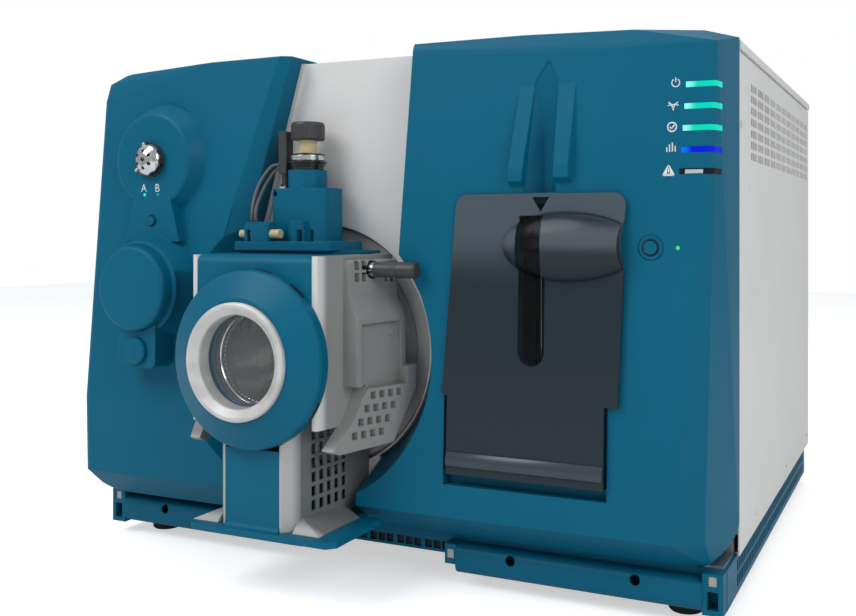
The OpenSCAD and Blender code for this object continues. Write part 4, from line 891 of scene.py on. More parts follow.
@dataclass
class StatusPanel:
    """The five status marks beside the light bars."""

    marks: tuple[tuple[float, float], ...] = ((422.9, 621.9), (420.2, 595.3), (419.0, 570.8),
                                              (418.0, 547.0), (415.3, 520.2))
    proud: float = 0.25
    root: float = -0.4
    arc_steps: int = 24

    def build(self, fascia: bpy.types.Object) -> None:
        """Builds the marks on the fascia's face.

        Args:
            fascia: The node whose face carries them.
        """
        drawers = (self.power, self.flow, self.ready, self.bars, self.alert)
        for number, ((x, z), draw) in enumerate(zip(self.marks, drawers), start=1):
            point, normal = probe_surface(fascia, x, z)
            shape = Shape()
            draw(shape)
            turn = Matrix.Translation(point) @ facing(normal) @ Matrix.Scale(MM, 4)
            shape.piece(f"status_mark_{number}", "cabinet", Finish.PRINT, turn, flat=True)

    def bar(self, shape: Shape, x0: float, y0: float, x1: float, y1: float, width: float) -> None:
        """Adds a straight stroke between two points.

        Args:
            shape: The shape to add to.
            x0: First point's X in millimetres.
            y0: First point's Y in millimetres.
            x1: Second point's X in millimetres.
            y1: Second point's Y in millimetres.
            width: The stroke's width in millimetres.
        """
        along = Vector((x1 - x0, y1 - y0))
        side = Vector((-along.y, along.x)).normalized() * width / 2
        corners = [(x0 + side.x, y0 + side.y), (x0 - side.x, y0 - side.y),
                   (x1 - side.x, y1 - side.y), (x1 + side.x, y1 + side.y)]
        shape.prism(corners, self.root, self.proud)

    def arc(self, shape: Shape, radius: float, width: float, first: float, sweep: float) -> None:
        """Adds a round stroke.

        Args:
            shape: The shape to add to.
            radius: Radius of its middle line in millimetres.
            width: The stroke's width in millimetres.
            first: The angle where it starts, in degrees.
            sweep: The angle that it covers, in degrees.
        """
        angles = [first + sweep * i / self.arc_steps for i in range(self.arc_steps + 1)]
        outer = [(radius + width / 2, a) for a in angles]
        inner = [(radius - width / 2, a) for a in reversed(angles)]
        shape.prism([(r * math.cos(math.radians(a)), r * math.sin(math.radians(a)))
                     for r, a in outer + inner], self.root, self.proud)

    def power(self, shape: Shape) -> None:
        """Draws an open ring with a bar in its gap."""
        self.arc(shape, 4.6, 1.3, 120.0, 300.0)
        self.bar(shape, 0.0, 0.6, 0.0, 6.2, 1.3)

    def flow(self, shape: Shape) -> None:
        """Draws a small hub with three long strokes and two short ones.

        Args:
            shape: The shape to add to.
        """
        self.arc(shape, 1.5, 1.5, 0.0, 359.9)
        for x, y in ((-5.6, 4.2), (5.6, 4.2), (0.0, -5.4)):
            self.bar(shape, x * 0.25, y * 0.25, x, y, 1.6)
        for side in (-1, 1):
            self.bar(shape, side * 2.2, 1.2, side * 6.4, 0.4, 1.2)

    def ready(self, shape: Shape) -> None:
        """Draws a ring with a tick.

        Args:
            shape: The shape to add to.
        """
        self.arc(shape, 5.2, 1.6, 0.0, 359.9)
        self.bar(shape, -2.8, 0.4, -0.6, -2.2, 1.5)
        self.bar(shape, -0.8, -2.2, 3.0, 2.6, 1.5)

    def bars(self, shape: Shape) -> None:
        """Draws four bars of different heights."""
        for x, top in ((-5.0, 0.5), (-1.7, 3.6), (1.6, 5.8), (4.9, 1.8)):
            self.bar(shape, x, -5.0, x, top, 1.5)

    def alert(self, shape: Shape) -> None:
        """Draws a triangle with an exclamation mark.

        Args:
            shape: The shape to add to.
        """
        corners = [(0.0, 6.2), (-6.6, -5.2), (6.6, -5.2)]
        for (x0, y0), (x1, y1) in zip(corners, corners[1:] + corners[:1]):
            self.bar(shape, x0, y0, x1, y1, 1.8)
        self.bar(shape, 0.0, -2.0, 0.0, 2.6, 1.7)
        self.bar(shape, 0.0, -4.2, 0.0, -3.2, 1.7)
        for side in (-1, 1):
            shape.prism([(side * 1.6, 2.2), (side * 4.6, -4.0), (side * 1.6, -4.0)],
                        self.root, self.proud)


@dataclass
class InjectionValve:
    """Plugs, clamp, rim and letters of the valve on the left fascia."""

    x: float = -342.0
    z: float = 552.0
    front: float = -93.0
    ring_front: float = -80.0
    boss: float = -74.0
    letters: tuple[tuple[str, float, float], ...] = (("A", -356.6, 511.2), ("B", -331.4, 510.8))
    letter_size: float = 16.33
    letter_proud: float = 0.2
    centre_plug: Profile = ((0, 1.2), (1.6, 1.2), (2.6, 0.6), (3.4, 0.4), (3.4, -4.0), (0, -4.0))
    port_plug: Profile = ((0, 0.4), (1.0, 0.4), (1.0, 1.0), (2.2, 0.8), (2.4, 0.3), (2.4, -2.0),
                          (0, -2.0))
    port_circle: float = 12.0
    ear: Profile = ((0, 5.0), (3.2, 5.0), (3.9, 4.2), (3.9, -1.0), (0, -1.0))
    ear_circle: float = 22.6
    rim: Profile = ((22.05, 0.0), (22.05, 2.6), (23.2, 3.4), (24.0, 2.4), (24.4, -0.5))

    def build(self) -> None:
        """Builds the valve's small pieces."""
        self.plugs()
        self.clamp()
        for text, x, z in self.letters:
            self.letter(text, x, z)

    def plugs(self) -> None:
        """Builds the black plugs in the stator's centre and ports."""
        shape = Shape()
        shape.lathe(self.centre_plug, 6, Matrix.Translation((0, 0, -0.5)))
        for place in round_places(6, self.port_circle, 30.0, -1.6):
            shape.lathe(self.port_plug, 24, place)
        shape.piece("valve_port_plugs", "cabinet", Finish.GLOSS,
                    to_frame(self.x, self.front, self.z, FRONT))

    def clamp(self) -> None:
        """Builds the clamp's ears and screws, and the rim round the stator."""
        ears, screws = Shape(), Shape()
        for place in round_places(3, self.ear_circle, -20.0):
            ears.lathe(self.ear, 24, place)
            socket_screw(screws, 2.6, 2.2, place @ Matrix.Translation((0, 0, 5.0)))
        place = to_frame(self.x, self.ring_front, self.z, FRONT)
        ears.piece("valve_clamp_ears", "cabinet", Finish.GLOSS, place)
        screws.piece("valve_clamp_screws", "cabinet", Finish.CHROME, place)
        Shape().lathe(self.rim, 72).piece("valve_rim", "cabinet", Finish.GLOSS, place)

    def letter(self, text: str, x: float, z: float) -> None:
        """Builds one printed port letter on the boss.

        Args:
            text: The letter.
            x: Cabinet X of its middle in millimetres.
            z: Cabinet Z of its middle in millimetres.
        """
        curve = bpy.data.curves.new(f"port_letter_{text}", "FONT")
        curve.body, curve.size = text, self.letter_size
        curve.align_x, curve.align_y = "CENTER", "CENTER"
        curve.extrude = self.letter_proud
        holder = bpy.data.objects.new(curve.name, curve)
        bpy.context.scene.collection.objects.link(holder)
        graph = bpy.context.evaluated_depsgraph_get()
        graph.update()
        mesh = bpy.data.meshes.new_from_object(holder.evaluated_get(graph))
        bpy.data.objects.remove(holder)
        mesh.transform(to_frame(x, self.boss, z, FRONT))
        enlist(bpy.data.objects.new(f"port_letter_{text}", mesh), "cabinet", Finish.PRINT)


@dataclass
class IonSource:
    """Seal, clamp, liner, port and grip marks of the ion source."""

    x: float = -90.5
    z: float = 288.5
    face: float = -163.0
    seal_y: float = -161.0
    clamp_y: float = -154.0
    seal_ring: Profile = ((56.6, 0), (58.6, 1.6), (62.0, 1.6), (62.0, -2.6), (58.0, -2.6))
    clamp_ring: Profile = ((57.4, 0), (58.6, 1.4), (60.4, 1.8), (62.0, 1.4), (62.0, -3.6),
                           (57.4, -3.6))
    coils: int = 60
    coil_place: tuple[float, float, float] = (57.2, 0, -6.2)
    liner_y: float = -8.0
    liner_wall: Profile = ((76.5, 146.0), (76.0, 120.0), (72.0, 60.0), (64.0, 14.0), (44.0, 8.0),
                           (24.0, 6.0))
    gap_ring: Profile = ((60.6, 128.0), (76.6, 128.0), (76.6, 138.0), (60.6, 138.0))
    port_rim: Profile = ((3.2, 0.0), (3.2, 5.0), (5.0, 5.6), (6.6, 5.0), (6.6, -3.0))
    port_place: tuple[float, float, float] = (-76.5, -22.0, 264.5)
    bezel_r: float = 113.0
    grips: tuple[float, ...] = (7.0, 36.0, 119.0)
    grip_sweep: float = 13.0
    grip_height: tuple[float, float] = (0.8, 7.2)

    def build(self) -> None:
        """Builds the pieces round and behind the window."""
        self.seal()
        self.liner()
        self.grip_marks()

    def seal(self) -> None:
        """Builds the black seal, and the bright clamp ring and spring behind the glass."""
        seal = Shape().lathe(self.seal_ring, 96, closed=True)
        seal.piece("window_seal", "cabinet", Finish.RUBBER,
                   to_frame(self.x, self.seal_y, self.z, FRONT))
        place = to_frame(self.x, self.clamp_y, self.z, FRONT)
        clamp = Shape().lathe(self.clamp_ring, 96, closed=True)
        clamp.piece("window_clamp", "cabinet", Finish.CHROME, place)
        spring = Shape()
        for step in range(self.coils):
            turn = (Matrix.Rotation(math.radians(step * 360 / self.coils), 4, "Z")
                    @ Matrix.Translation(self.coil_place))
            spring.block((-1.0, -1.9, -0.8), (1.2, 1.9, 0.8), 0.35, 1, turn)
        spring.piece("window_spring", "cabinet", Finish.CHROME, place)

    def liner(self) -> None:
        """Builds the chamber's polished liner, a black ring of painted shade for the gap in front of
        it, and the drain port.
        """
        place = to_frame(self.x, self.liner_y, self.z, FRONT)
        Shape().lathe(self.liner_wall, 96).piece("source_liner", "cabinet", Finish.LINER, place)
        # Painted shade: a solid black ring stands for the dark gap in front of the liner.
        gap = Shape().lathe(self.gap_ring, 96, closed=True)
        gap.piece("liner_gap", "cabinet", Finish.GLOSS, place)
        port = Shape().lathe(self.port_rim, 40)
        port.piece("drain_port", "cabinet", Finish.CHROME, to_frame(*self.port_place, FRONT))

    def grip_marks(self) -> None:
        """Builds the three finger slots at the bezel's rear edge as thin dark strips of painted
        shade.
        """
        shape = Shape()
        (low, high), inner, outer = self.grip_height, self.bezel_r - 2.0, self.bezel_r + 0.4
        for start in self.grips:
            turn = Matrix.Rotation(math.radians(81.0 - start), 4, "Z")
            shape.lathe([(inner, low), (outer, low), (outer, high), (inner, high)], 12, turn,
                        self.grip_sweep, True)
        # Painted shade: near-black strips stand for the shade inside the finger slots.
        shape.piece("bezel_grip_slots", "cabinet", Finish.DARK,
                    to_frame(self.x, self.face, self.z, FRONT))


@dataclass
class Latch:
    """The quarter turn latch: chromed shaft with its flats, and grip."""

    y: float = -75.0
    z: float = 400.0
    start: float = -90.5
    shaft: Profile = ((0, 89.0), (6.0, 89.0), (6.0, 101.6), (9.0, 101.6), (9.0, 108.0),
                      (6.0, 108.0), (6.0, 112.0), (9.4, 112.6), (9.4, 126.5), (8.6, 127.2),
                      (0, 127.2))
    grip: Profile = ((0, 126.0), (9.2, 126.0), (10.0, 127.0), (10.0, 159.2), (9.7, 159.8),
                     (9.7, 160.4), (10.6, 161.0), (10.6, 184.5), (9.8, 187.0), (7.6, 188.0),
                     (0, 188.0))
    flat_angles: tuple[float, ...] = (20.0, 110.0)
    flat_low: tuple[float, float, float] = (-9.6, -1.2, 114.5)
    flat_high: tuple[float, float, float] = (9.6, 1.2, 124.0)

    def build(self) -> None:
        """Builds the detailed latch in place of the plain one."""
        body, place = "latch_right_body", to_frame(self.start, self.y, self.z, RIGHT)
        Shape().lathe(self.shaft).piece("latch_shaft", body, Finish.CHROME, place)
        Shape().lathe(self.grip).piece("latch_grip", body, Finish.BLACK, place,
                                       replaces=("latch_right",))
        flats = Shape()
        for angle in self.flat_angles:
            flats.block(self.flat_low, self.flat_high, 0.5, 1,
                        Matrix.Rotation(math.radians(angle), 4, "Z"))
        flats.piece("latch_flats", body, Finish.GLOSS, place)


@dataclass
class ProbeTower:
    """Leads, ring, fluted knob and trim of the probe tower."""

    x: float = -90.5
    y: float = -45.0
    ring_z: float = 532.8
    knob_z: float = 573.8
    lead_r: float = 2.3
    source_z: float = 288.5
    leads: tuple[tuple[tuple[float, float, float], ...], ...] = (
        ((-41.5, -50.0, 246.0), (-48.5, -50.0, 246.0), (-54.5, -57.0, 235.0), (-56.5, -74.0, 211.0),
         (-52.0, -91.0, 187.5), (-52.0, -91.0, 173.5)),
        ((-41.5, -54.0, 252.0), (-49.5, -54.0, 252.0), (-58.5, -63.0, 239.0), (-60.5, -80.0, 213.0),
         (-58.0, -91.0, 187.5), (-58.0, -91.0, 173.5)),
    )
    ring_profile: Profile = ((12.5, 0.0), (21.8, 0.0), (22.0, 0.4), (22.0, 4.6), (23.4, 5.2),
                             (23.5, 8.6), (25.8, 9.4), (26.0, 10.0), (26.0, 11.4), (25.6, 12.0),
                             (23.5, 12.4), (23.5, 21.0), (22.6, 22.0), (12.5, 22.0))
    band_profile: Profile = ((23.45, 13.2), (23.75, 13.5), (23.75, 19.4), (23.45, 19.7))
    flutes: int = 36
    knob_r: tuple[float, float] = (22.55, 23.0)
    knob_z_span: tuple[float, float] = (1.4, 20.6)
    knob_foot: Profile = ((0, 0.0), (21.6, 0.0), (22.6, 1.0), (22.6, 1.4))
    knob_cap: Profile = ((22.6, 20.6), (22.4, 22.0), (21.0, 24.2), (19.6, 24.5), (0, 24.5))
    nut: Profile = ((4.0, 0.0), (8.2, 0.0), (8.2, 2.4), (7.2, 3.0), (7.2, 4.4), (5.0, 4.8))
    nut_place: tuple[float, float, float] = (-34.5, -48.0, 219.2)
    gland: Profile = ((2.35, 4.5), (3.4, 4.0), (3.6, 0.0), (2.35, 0.0))

    def build(self) -> None:
        """Builds the probe's pieces."""
        self.cables()
        self.ring()
        self.knob()
        self.hardware()

    def cables(self) -> None:
        """Builds the two leads as smooth tubes in place of the plain ones."""
        curve = bpy.data.curves.new("probe_leads", "CURVE")
        curve.dimensions = "3D"
        curve.bevel_depth = self.lead_r * MM
        curve.bevel_resolution = 5
        curve.resolution_u = 12
        for points in self.leads:
            spline = curve.splines.new("BEZIER")
            spline.bezier_points.add(len(points) - 1)
            for knot, (u, y, z) in zip(spline.bezier_points, points):
                knot.co = at(self.x + u, y, self.source_z + z)
                knot.handle_left_type = knot.handle_right_type = "AUTO"
        obj = bpy.data.objects.new("probe_leads", curve)
        enlist(obj, "cabinet", Finish.CABLE, ("probe_cables",))

    def ring(self) -> None:
        """Builds the polished black ring and its bright band."""
        body, place = "retaining_ring_body", to_frame(self.x, self.y, self.ring_z)
        shape = Shape().lathe(self.ring_profile, 72, closed=True)
        shape.piece("retaining_ring_detail", body, Finish.ANODISED, place,
                    replaces=("retaining_ring",))
        band = Shape().lathe(self.band_profile, 72)
        band.piece("retaining_ring_band", body, Finish.CHROME, place)

    def knob(self) -> None:
        """Builds the knob's grip with shallow flutes."""
        shape = Shape()
        corners = []
        for step in range(self.flutes * 4):
            angle = math.radians(step * 90 / self.flutes)
            radius = self.knob_r[0] if step % 4 in (0, 1) else self.knob_r[1]
            corners.append((radius * math.cos(angle), radius * math.sin(angle)))
        shape.prism(corners, *self.knob_z_span)
        shape.lathe(self.knob_foot, 72)
        shape.lathe(self.knob_cap, 72)
        shape.piece("probe_knob_detail", "probe_knob_body", Finish.BLACK,
                    to_frame(self.x, self.y, self.knob_z), replaces=("probe_knob",))

    def hardware(self) -> None:
        """Builds the bright nut under the sensor and the leads' glands."""
        u, y, z = self.nut_place
        Shape().lathe(self.nut, 6).piece("sensor_nut", "cabinet", Finish.CHROME,
                                         to_frame(self.x + u, y, self.source_z + z))
        glands = Shape()
        for lead in self.leads:
            u, y, z = lead[-1]
            glands.lathe(self.gland, 24, Matrix.Translation((u, y, 0)), closed=True)
        glands.piece("lead_glands", "cabinet", Finish.BLACK,
                     to_frame(self.x, 0.0, self.source_z + z))


@dataclass
class ButtonRing:
    """A thin dark ring on a node's face round a button, as painted shade in the gap round it."""

    name: str
    node: str
    x: float
    z: float
    inner: float
    outer: float
    root: float = -0.4
    proud: float = 0.12

    def build(self, nodes: dict[str, bpy.types.Object]) -> None:
        """Builds the ring on its node.

        Args:
            nodes: The frame's nodes by name.
        """
        middle = (self.inner + self.outer) / 2
        point, normal = probe_surface(nodes[self.node], self.x + middle, self.z)
        turn = facing(normal)
        centre = point - (turn @ Vector((middle * MM, 0.0, 0.0)))
        shape = Shape().lathe([(self.inner, self.root), (self.outer, self.root),
                               (self.outer, self.proud), (self.inner, self.proud)], 48,
                              closed=True)
        # Painted shade: the near-black ring stands for the shade in the gap round the button.
        shape.piece(self.name, "cabinet", Finish.DARK,
                    Matrix.Translation(centre) @ turn @ Matrix.Scale(MM, 4), flat=True)


@dataclass
class PumpDoor:
    """The smoked door with its hollow handle, kick bar and hinge barrel.

    Sizes are in the door's own millimetres: across, up from the hinge and out.
    """

    hinge: tuple[float, float] = (-61.42, 152.0)
    lean: float = 1.98
    low_x: tuple[float, float] = (136.5, 342.5)
    mid_x: tuple[float, float] = (129.0, 359.5)
    high_x: tuple[float, float] = (145.5, 366.5)
    foot: float = -6.0
    notch: float = 91.0
    head: float = 343.5
    corner: float = 14.0
    back: float = 7.6
    front: float = 11.6
    bulge: tuple[float, float] = (290.0, 279.5)
    bulge_size: tuple[float, float, float] = (80.0, 42.5, 21.0)
    bulge_right: float = 97.0
    scoop: tuple[float, float, float] = (446.1, 282.0, 86.0)
    scoop_reach: float = 28.9
    scoop_steps: int = 12
    opening_wall: float = 2.5
    opening_right: float = 355.0
    barrel_r: float = 6.0
    pin_r: float = 2.5
    pin_x: tuple[float, float] = (123.5, 351.5)
    leaf: float = 5.0
    handle_wall: float = 2.2
    handle_sink: float = 1.2
    handle_grid: tuple[int, int] = (48, 64)
    kick_bar: Profile = ((11.5, 22.0), (15.6, 13.5), (14.6, 4.5), (11.5, 3.0))
    kick_inset: float = 0.6
    groove: tuple[float, float] = (22.4, 23.6)
    groove_out: tuple[float, float] = (11.4, 11.75)
    body: str = "pump_door_body"

    def place(self) -> Matrix:
        """Gives the matrix from the door's own millimetres, as across, up and out."""
        tilt = Matrix.Rotation(math.radians(-self.lean), 4, "X")
        return Matrix.Translation(at(0.0, *self.hinge)) @ tilt @ FRONT @ Matrix.Scale(MM, 4)

    def scoop_x(self, z: float) -> float:
        """Gives where the finger scoop cuts the door's right edge at a height."""
        x, middle, radius = self.scoop
        return x - math.sqrt(max(0.0, radius ** 2 - (z - middle) ** 2))

    def outline(self) -> list[tuple[float, float]]:
        """Gives the door's outline.

        Returns:
            Its corners, anticlockwise from the lower left one.
        """
        heights = [self.scoop[1] + self.scoop_reach * i / self.scoop_steps
                   for i in range(-self.scoop_steps, self.scoop_steps + 1)]
        scoop = [(self.scoop_x(z), z) for z in heights]
        r, head = self.corner, self.head
        turn = [math.radians(15 * i) for i in range(7)]
        return ([(self.low_x[0], self.foot), (self.low_x[1], self.foot),
                 (self.low_x[1], self.notch), (self.mid_x[1], self.notch)] + scoop
                + [(self.high_x[1] - r * (1 - math.cos(a)), head - r * (1 - math.sin(a)))
                   for a in turn]
                + [(self.high_x[0] + r * (1 - math.sin(a)), head - r * (1 - math.cos(a)))
                   for a in turn]
                + [(self.mid_x[0], self.notch + 3), (self.low_x[0], self.notch)])

    def opening(self) -> list[tuple[float, float]]:
        """Gives the outline of the opening behind the handle.

        Returns:
            Its corners, anticlockwise from the right.
        """
        (x, z), (left, up, _) = self.bulge, self.bulge_size
        corners = []
        for turn in (math.tau * i / 96 for i in range(96)):
            wide = (self.bulge_right if math.cos(turn) > 0 else left) - self.opening_wall
            corners.append((min(x + wide * math.cos(turn), self.opening_right),
                            z + (up - self.opening_wall) * math.sin(turn)))
        return corners

    def build(self) -> None:
        """Builds the door in place of the plain one."""
        self.plate()
        self.handle()
        low, high = self.low_x
        across = Matrix(((0, 0, -1), (0, 1, 0), (1, 0, 0))).to_4x4()
        bar = Shape().prism(self.kick_bar, self.kick_inset - high, -low - self.kick_inset, across)
        bar.soften(0.5).piece("door_kick_bar", self.body, Finish.TRIM, self.place())
        # Painted shade: a thin dark strip stands for the shade in the groove across the door's lower
        # part.
        line = Shape().block((low, self.groove[0], self.groove_out[0]),
                             (high, self.groove[1], self.groove_out[1]))
        line.piece("door_groove", self.body, Finish.DARK, self.place(), flat=True)

    def plate(self) -> None:
        """Builds the plate with the opening behind the handle, and its hinge barrel."""
        shape = Shape()
        mesh = shape.mesh
        edges = []
        for loop in (self.outline(), self.opening()):
            verts = [mesh.verts.new((x, z, self.back)) for x, z in loop]
            edges += [mesh.edges.new((v, w)) for v, w in zip(verts, verts[1:] + verts[:1])]
        bmesh.ops.triangle_fill(mesh, edges=edges, use_beauty=True, use_dissolve=False)
        made = bmesh.ops.extrude_face_region(mesh, geom=list(mesh.faces), use_keep_orig=True)
        top = [g for g in made["geom"] if isinstance(g, bmesh.types.BMVert)]
        bmesh.ops.translate(mesh, vec=(0, 0, self.front - self.back), verts=top)
        along = Matrix.Rotation(math.radians(90), 4, "Y")
        for radius, (low, high), steps in ((self.barrel_r, self.low_x, 40),
                                           (self.pin_r, self.pin_x, 24)):
            shape.lathe([(0, low), (radius, low), (radius, high), (0, high)], steps, along)
        shape.block((self.low_x[0], -self.leaf, 0.0), (self.low_x[1], self.leaf, self.back + 0.5))
        shape.piece("pump_door_plate", self.body, Finish.SMOKED, self.place(),
                    replaces=("pump_door",))

    def handle(self) -> None:
        """Builds the handle's hollow shell, open at the finger scoop."""
        shape = Shape()
        mesh = shape.mesh
        (cx, cz), (a, b, c) = self.bulge, self.bulge_size
        rows, columns = self.handle_grid
        grid = []
        for j in range(rows + 1):
            t = math.sin(math.pi * (j / rows - 0.5)) * 0.999  # short of 1, so no row shrinks away
            z = cz + b * t
            part = math.sqrt(1 - t * t)
            left, right = cx - a * part, min(cx + self.bulge_right * part, self.scoop_x(z))
            row = []
            for i in range(columns + 1):
                x = left + (right - left) * (1 - math.cos(math.pi / 2 * i / columns))
                rise = max(0.0, 1 - ((x - cx) / (a if x < cx else self.bulge_right)) ** 2 - t * t)
                out = self.front - self.handle_sink + c * math.sqrt(rise)
                row.append(mesh.verts.new((x, z, out)))
            grid.append(row)
        for low, high in zip(grid, grid[1:]):
            for i in range(columns):
                mesh.faces.new((low[i], low[i + 1], high[i + 1], high[i]))
        bmesh.ops.remove_doubles(mesh, verts=mesh.verts, dist=0.01)
        bmesh.ops.solidify(mesh, geom=list(mesh.faces), thickness=self.handle_wall)
        shape.piece("pump_door_handle", self.body, Finish.HANDLE, self.place())


@dataclass
class SyringePump:
    """The screws that hold the syringe pump's frame."""

    slot_x: float = 247.0
    front: float = -7.0
    screw_x: tuple[float, ...] = (-19.0, 19.0)
    screw_z: tuple[float, ...] = (269.0, 479.5)

    def build(self) -> None:
        """Builds the pump's screws."""
        screws = Shape()
        for x in self.screw_x:
            for z in self.screw_z:
                socket_screw(screws, 3.0, 2.6, Matrix.Translation((x, z, 0)))
        screws.piece("pump_screws", "cabinet", Finish.CHROME,
                     to_frame(self.slot_x, self.front, 0.0, FRONT))


@dataclass
class Cabinet:
    """Screws, plugs, screens and connectors on the cabinet's sides and rear."""

    half_w: float = 476.5
    depth: float = 753.0
    plug: Profile = ((0, 2.6), (3.6, 2.6), (5.0, 1.8), (5.6, 0.4), (5.6, -1.0), (0, -1.0))
    plug_y: float = 64.0
    plug_z: float = 582.9
    side_screw_y: tuple[float, ...] = (180.0, 460.0, 725.0)
    side_screw_z: float = 70.0
    front_screen_x: float = 118.0
    side_screen_y: tuple[float, float] = (50.0, 715.0)
    screen_top: float = 46.0
    rear_screw_x: tuple[float, ...] = (-455.0, -230.0, 0.0, 230.0, 455.0)
    rear_screw_z: tuple[float, ...] = (66.0, 662.0)
    fan_x: tuple[float, ...] = (-250.0, -95.0)
    fan_z: float = 470.0
    fan_hole: float = 55.0
    socket_count: int = 5
    socket_x: float = 252.0
    socket_pitch: float = 38.0
    pins: tuple[tuple[float, float], ...] = ((318, 126), (334, 126), (326, 133))
    port_x: float = 160.0
    port_z: tuple[float, ...] = (240.0, 320.0)
    port_rim: Profile = ((16.2, 0.5), (19.4, 0.5), (21.4, -0.6), (21.4, -2.0), (16.2, -2.0))

    def build(self) -> None:
        """Builds the cabinet's small pieces."""
        self.side_trim()
        self.screens()
        self.rear_screws()
        self.connectors()

    def side_trim(self) -> None:
        """Builds the round plugs and the screws of both side panels."""
        plugs, screws = Shape(), Shape()
        for side in (-1, 1):
            turn = Matrix.Rotation(math.radians(90 * side), 4, "Y")
            wall = side * self.half_w
            plugs.lathe(self.plug, 32, Matrix.Translation((wall, self.plug_y, self.plug_z)) @ turn)
            for y in self.side_screw_y:
                place = Matrix.Translation((wall, y, self.side_screw_z)) @ turn
                socket_screw(screws, 3.0, 1.4, place)
        plugs.piece("panel_plugs", "cabinet", Finish.CREAM, to_frame(0, 0, 0))
        screws.piece("panel_screws", "cabinet", Finish.CHROME, to_frame(0, 0, 0))

    def screens(self) -> None:
        """Builds dark sheets behind the skirt's cells, as painted shade inside the vents."""
        wide, (near, far) = self.front_screen_x, self.side_screen_y
        shape = Shape().block((-wide, 3.5, 21.0), (wide, 4.5, self.screen_top))
        for side in (-1, 1):
            low, high = sorted((side * (self.half_w - 9.0), side * (self.half_w - 8.0)))
            shape.block((low, near, 4.0), (high, far, self.screen_top))
        # Painted shade: the near-black sheets stand for the shade inside the vent cells.
        shape.piece("vent_screens", "cabinet", Finish.DARK, to_frame(0, 0, 0), flat=True)

    def rear_screws(self) -> None:
        """Builds the screws of the rear panel and of its two fans."""
        screws = Shape()
        for x in self.rear_screw_x:
            for z in self.rear_screw_z:
                socket_screw(screws, 3.2, 1.8, Matrix.Translation((-x, z, 0)))
        for fan in self.fan_x:
            for dx in (-self.fan_hole, self.fan_hole):
                for dz in (-self.fan_hole, self.fan_hole):
                    place = Matrix.Translation((-(fan + dx), self.fan_z + dz, 0))
                    socket_screw(screws, 2.8, 1.6, place)
        screws.piece("rear_screws", "cabinet", Finish.CHROME, to_frame(0, self.depth, 0, BACK))

    def connectors(self) -> None:
        """Builds the sockets, the inlet's pins and the rims of the vacuum ports."""
        shells, tongues, rear = Shape(), Shape(), self.depth
        for step in range(self.socket_count):
            x = self.socket_x + self.socket_pitch * step
            shells.block((x + 0.4, rear - 9, 300.4), (x + 25.6, rear - 0.6, 313.6), 1.2)
            tongues.block((x + 5, rear - 2, 303.5), (x + 21, rear + 1.2, 310.5), 1.0)
        shells.piece("rear_sockets", "cabinet", Finish.DARK, to_frame(0, 0, 0))
        tongues.piece("rear_socket_rims", "cabinet", Finish.SHEET, to_frame(0, 0, 0))
        pins = Shape()
        for x, z in self.pins:
            pins.block((x - 1, rear - 20.5, z - 3), (x + 1, rear - 8, z + 3), 0.4)
        pins.piece("inlet_pins", "cabinet", Finish.CHROME, to_frame(0, 0, 0))
        rims = Shape()
        for z in self.port_z:
            rims.lathe(self.port_rim, 48, Matrix.Translation((-self.port_x, z, 8.0)), closed=True)
        rims.piece("vacuum_port_rims", "cabinet", Finish.MILLED, to_frame(0, rear, 0, BACK))


# ---------------------------------------------------------------- studio


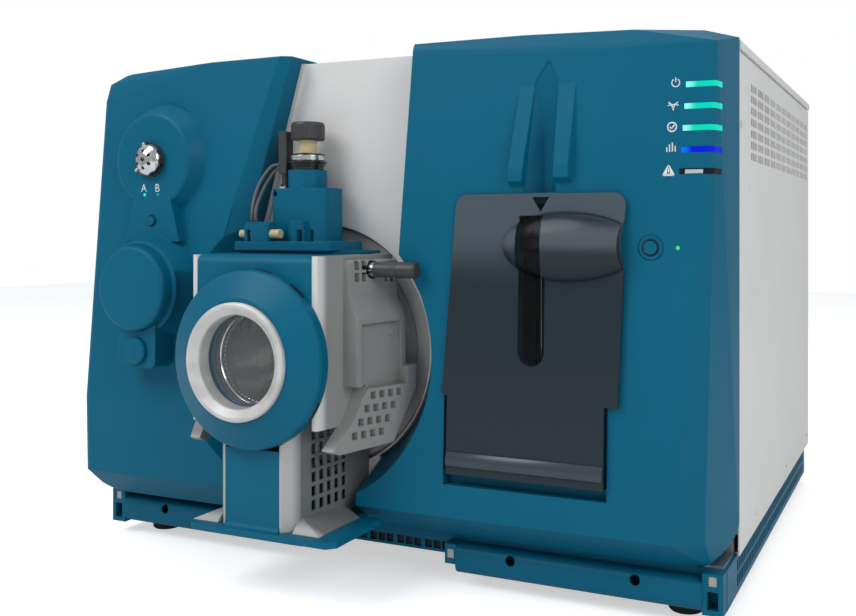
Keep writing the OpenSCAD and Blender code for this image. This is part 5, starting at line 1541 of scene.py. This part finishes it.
@dataclass
class Studio:
    """Camera, floor, lamps and world."""

    eye: Vector = field(default_factory=lambda: Vector((0.7008, -1.4453, 0.4732)))
    yaw: float = 24.0
    lens: float = 41.234
    shift: tuple[float, float] = (-0.08665, -0.09474)
    sensor: float = 36.0
    floor_size: float = 6.0
    floor_drop: float = 0.0005
    floor_tone: float = 0.9
    lift: float = 0.55
    sky: Colour = (0.93, 0.96, 1.0)
    sky_strength: float = 0.42
    lamps: tuple[tuple[str, Vector, Vector, float, float], ...] = (
        ("key", Vector((-1.4, -2.6, 2.9)), Vector((0, 0, 0.35)), 2.2, 62.0),
        ("fill", Vector((2.8, -1.6, 1.9)), Vector((0.2, 0, 0.3)), 2.0, 34.0),
        ("top", Vector((0.2, 0.6, 3.2)), Vector((0, 0, 0.5)), 2.4, 26.0),
    )

    def build(self) -> None:
        """Builds the whole studio."""
        self.camera()
        self.floor()
        self.light()

    def camera(self) -> None:
        """Adds the camera at the eye."""
        data = bpy.data.cameras.new("camera")
        data.lens, data.sensor_width = self.lens, self.sensor
        data.shift_x, data.shift_y = self.shift
        data.clip_end = 50.0
        obj = bpy.data.objects.new("camera", data)
        obj.location = self.eye
        obj.rotation_euler = (math.pi / 2, 0.0, math.radians(self.yaw))
        bpy.context.scene.collection.objects.link(obj)
        bpy.context.scene.camera = obj

    def floor(self) -> None:
        """Adds a plain pale floor that shows white to the camera but keeps a shadow."""
        shape = bmesh.new()
        bmesh.ops.create_grid(shape, x_segments=1, y_segments=1, size=self.floor_size)
        mesh = bpy.data.meshes.new("floor")
        shape.to_mesh(mesh)
        shape.free()
        obj = bpy.data.objects.new("floor", mesh)
        obj.location = (0.0, 0.0, -self.floor_drop)
        bpy.context.scene.collection.objects.link(obj)
        graph = Graph("floor")
        seen = graph.make("ShaderNodeLightPath", {}, {}, "Is Camera Ray")
        graph.set(Base_Color=(self.floor_tone,) * 3, Roughness=0.9,
                  Emission_Color=(1.0, 1.0, 1.0), Emission_Strength=seen * self.lift)
        mesh.materials.append(graph.material)

    def light(self) -> None:
        """Adds the soft lamps, and a world that is white to the camera and dimmer to the rest."""
        for name, place, aim, size, power in self.lamps:
            data = bpy.data.lights.new(name, "AREA")
            data.energy, data.shape, data.size = power, "DISK", size
            obj = bpy.data.objects.new(name, data)
            obj.location = place
            obj.rotation_euler = (aim - place).to_track_quat("-Z", "Y").to_euler()
            bpy.context.scene.collection.objects.link(obj)
        world = bpy.data.worlds.new("studio")
        bpy.context.scene.world = world
        world.use_nodes = True
        tree = world.node_tree
        tree.nodes.clear()
        out = tree.nodes.new("ShaderNodeOutputWorld")
        path = tree.nodes.new("ShaderNodeLightPath")
        seen = tree.nodes.new("ShaderNodeBackground")
        cast = tree.nodes.new("ShaderNodeBackground")
        mix = tree.nodes.new("ShaderNodeMixShader")
        seen.inputs[0].default_value = (1.0, 1.0, 1.0, 1.0)
        seen.inputs[1].default_value = 1.0
        cast.inputs[0].default_value = (*self.sky, 1.0)
        cast.inputs[1].default_value = self.sky_strength
        tree.links.new(path.outputs["Is Camera Ray"], mix.inputs[0])
        tree.links.new(cast.outputs[0], mix.inputs[1])
        tree.links.new(seen.outputs[0], mix.inputs[2])
        tree.links.new(mix.outputs[0], out.inputs[0])


def main() -> None:
    """Builds the studio and every sub-assembly, in order."""
    logging.basicConfig(level=logging.INFO, format="%(name)s: %(message)s")
    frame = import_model()
    bpy.context.scene.view_settings.view_transform = "Standard"
    Studio().build()
    for finish, names in NODE_FINISH.items():
        for name in names:
            dress(frame["nodes"][name], finish)
    StatusPanel().build(frame["nodes"]["right_fascia"])
    InjectionValve().build()
    IonSource().build()
    Latch().build()
    ProbeTower().build()
    SyringePump().build()
    PumpDoor().build()
    ButtonRing("pump_button_ring", "button_housing", 395.0, 431.0, 9.0, 10.6).build(frame["nodes"])
    ButtonRing("valve_button_ring", "left_fascia", -342.0, 464.0, 6.7, 8.0).build(frame["nodes"])
    Cabinet().build()


if __name__ == "__main__":
    main()
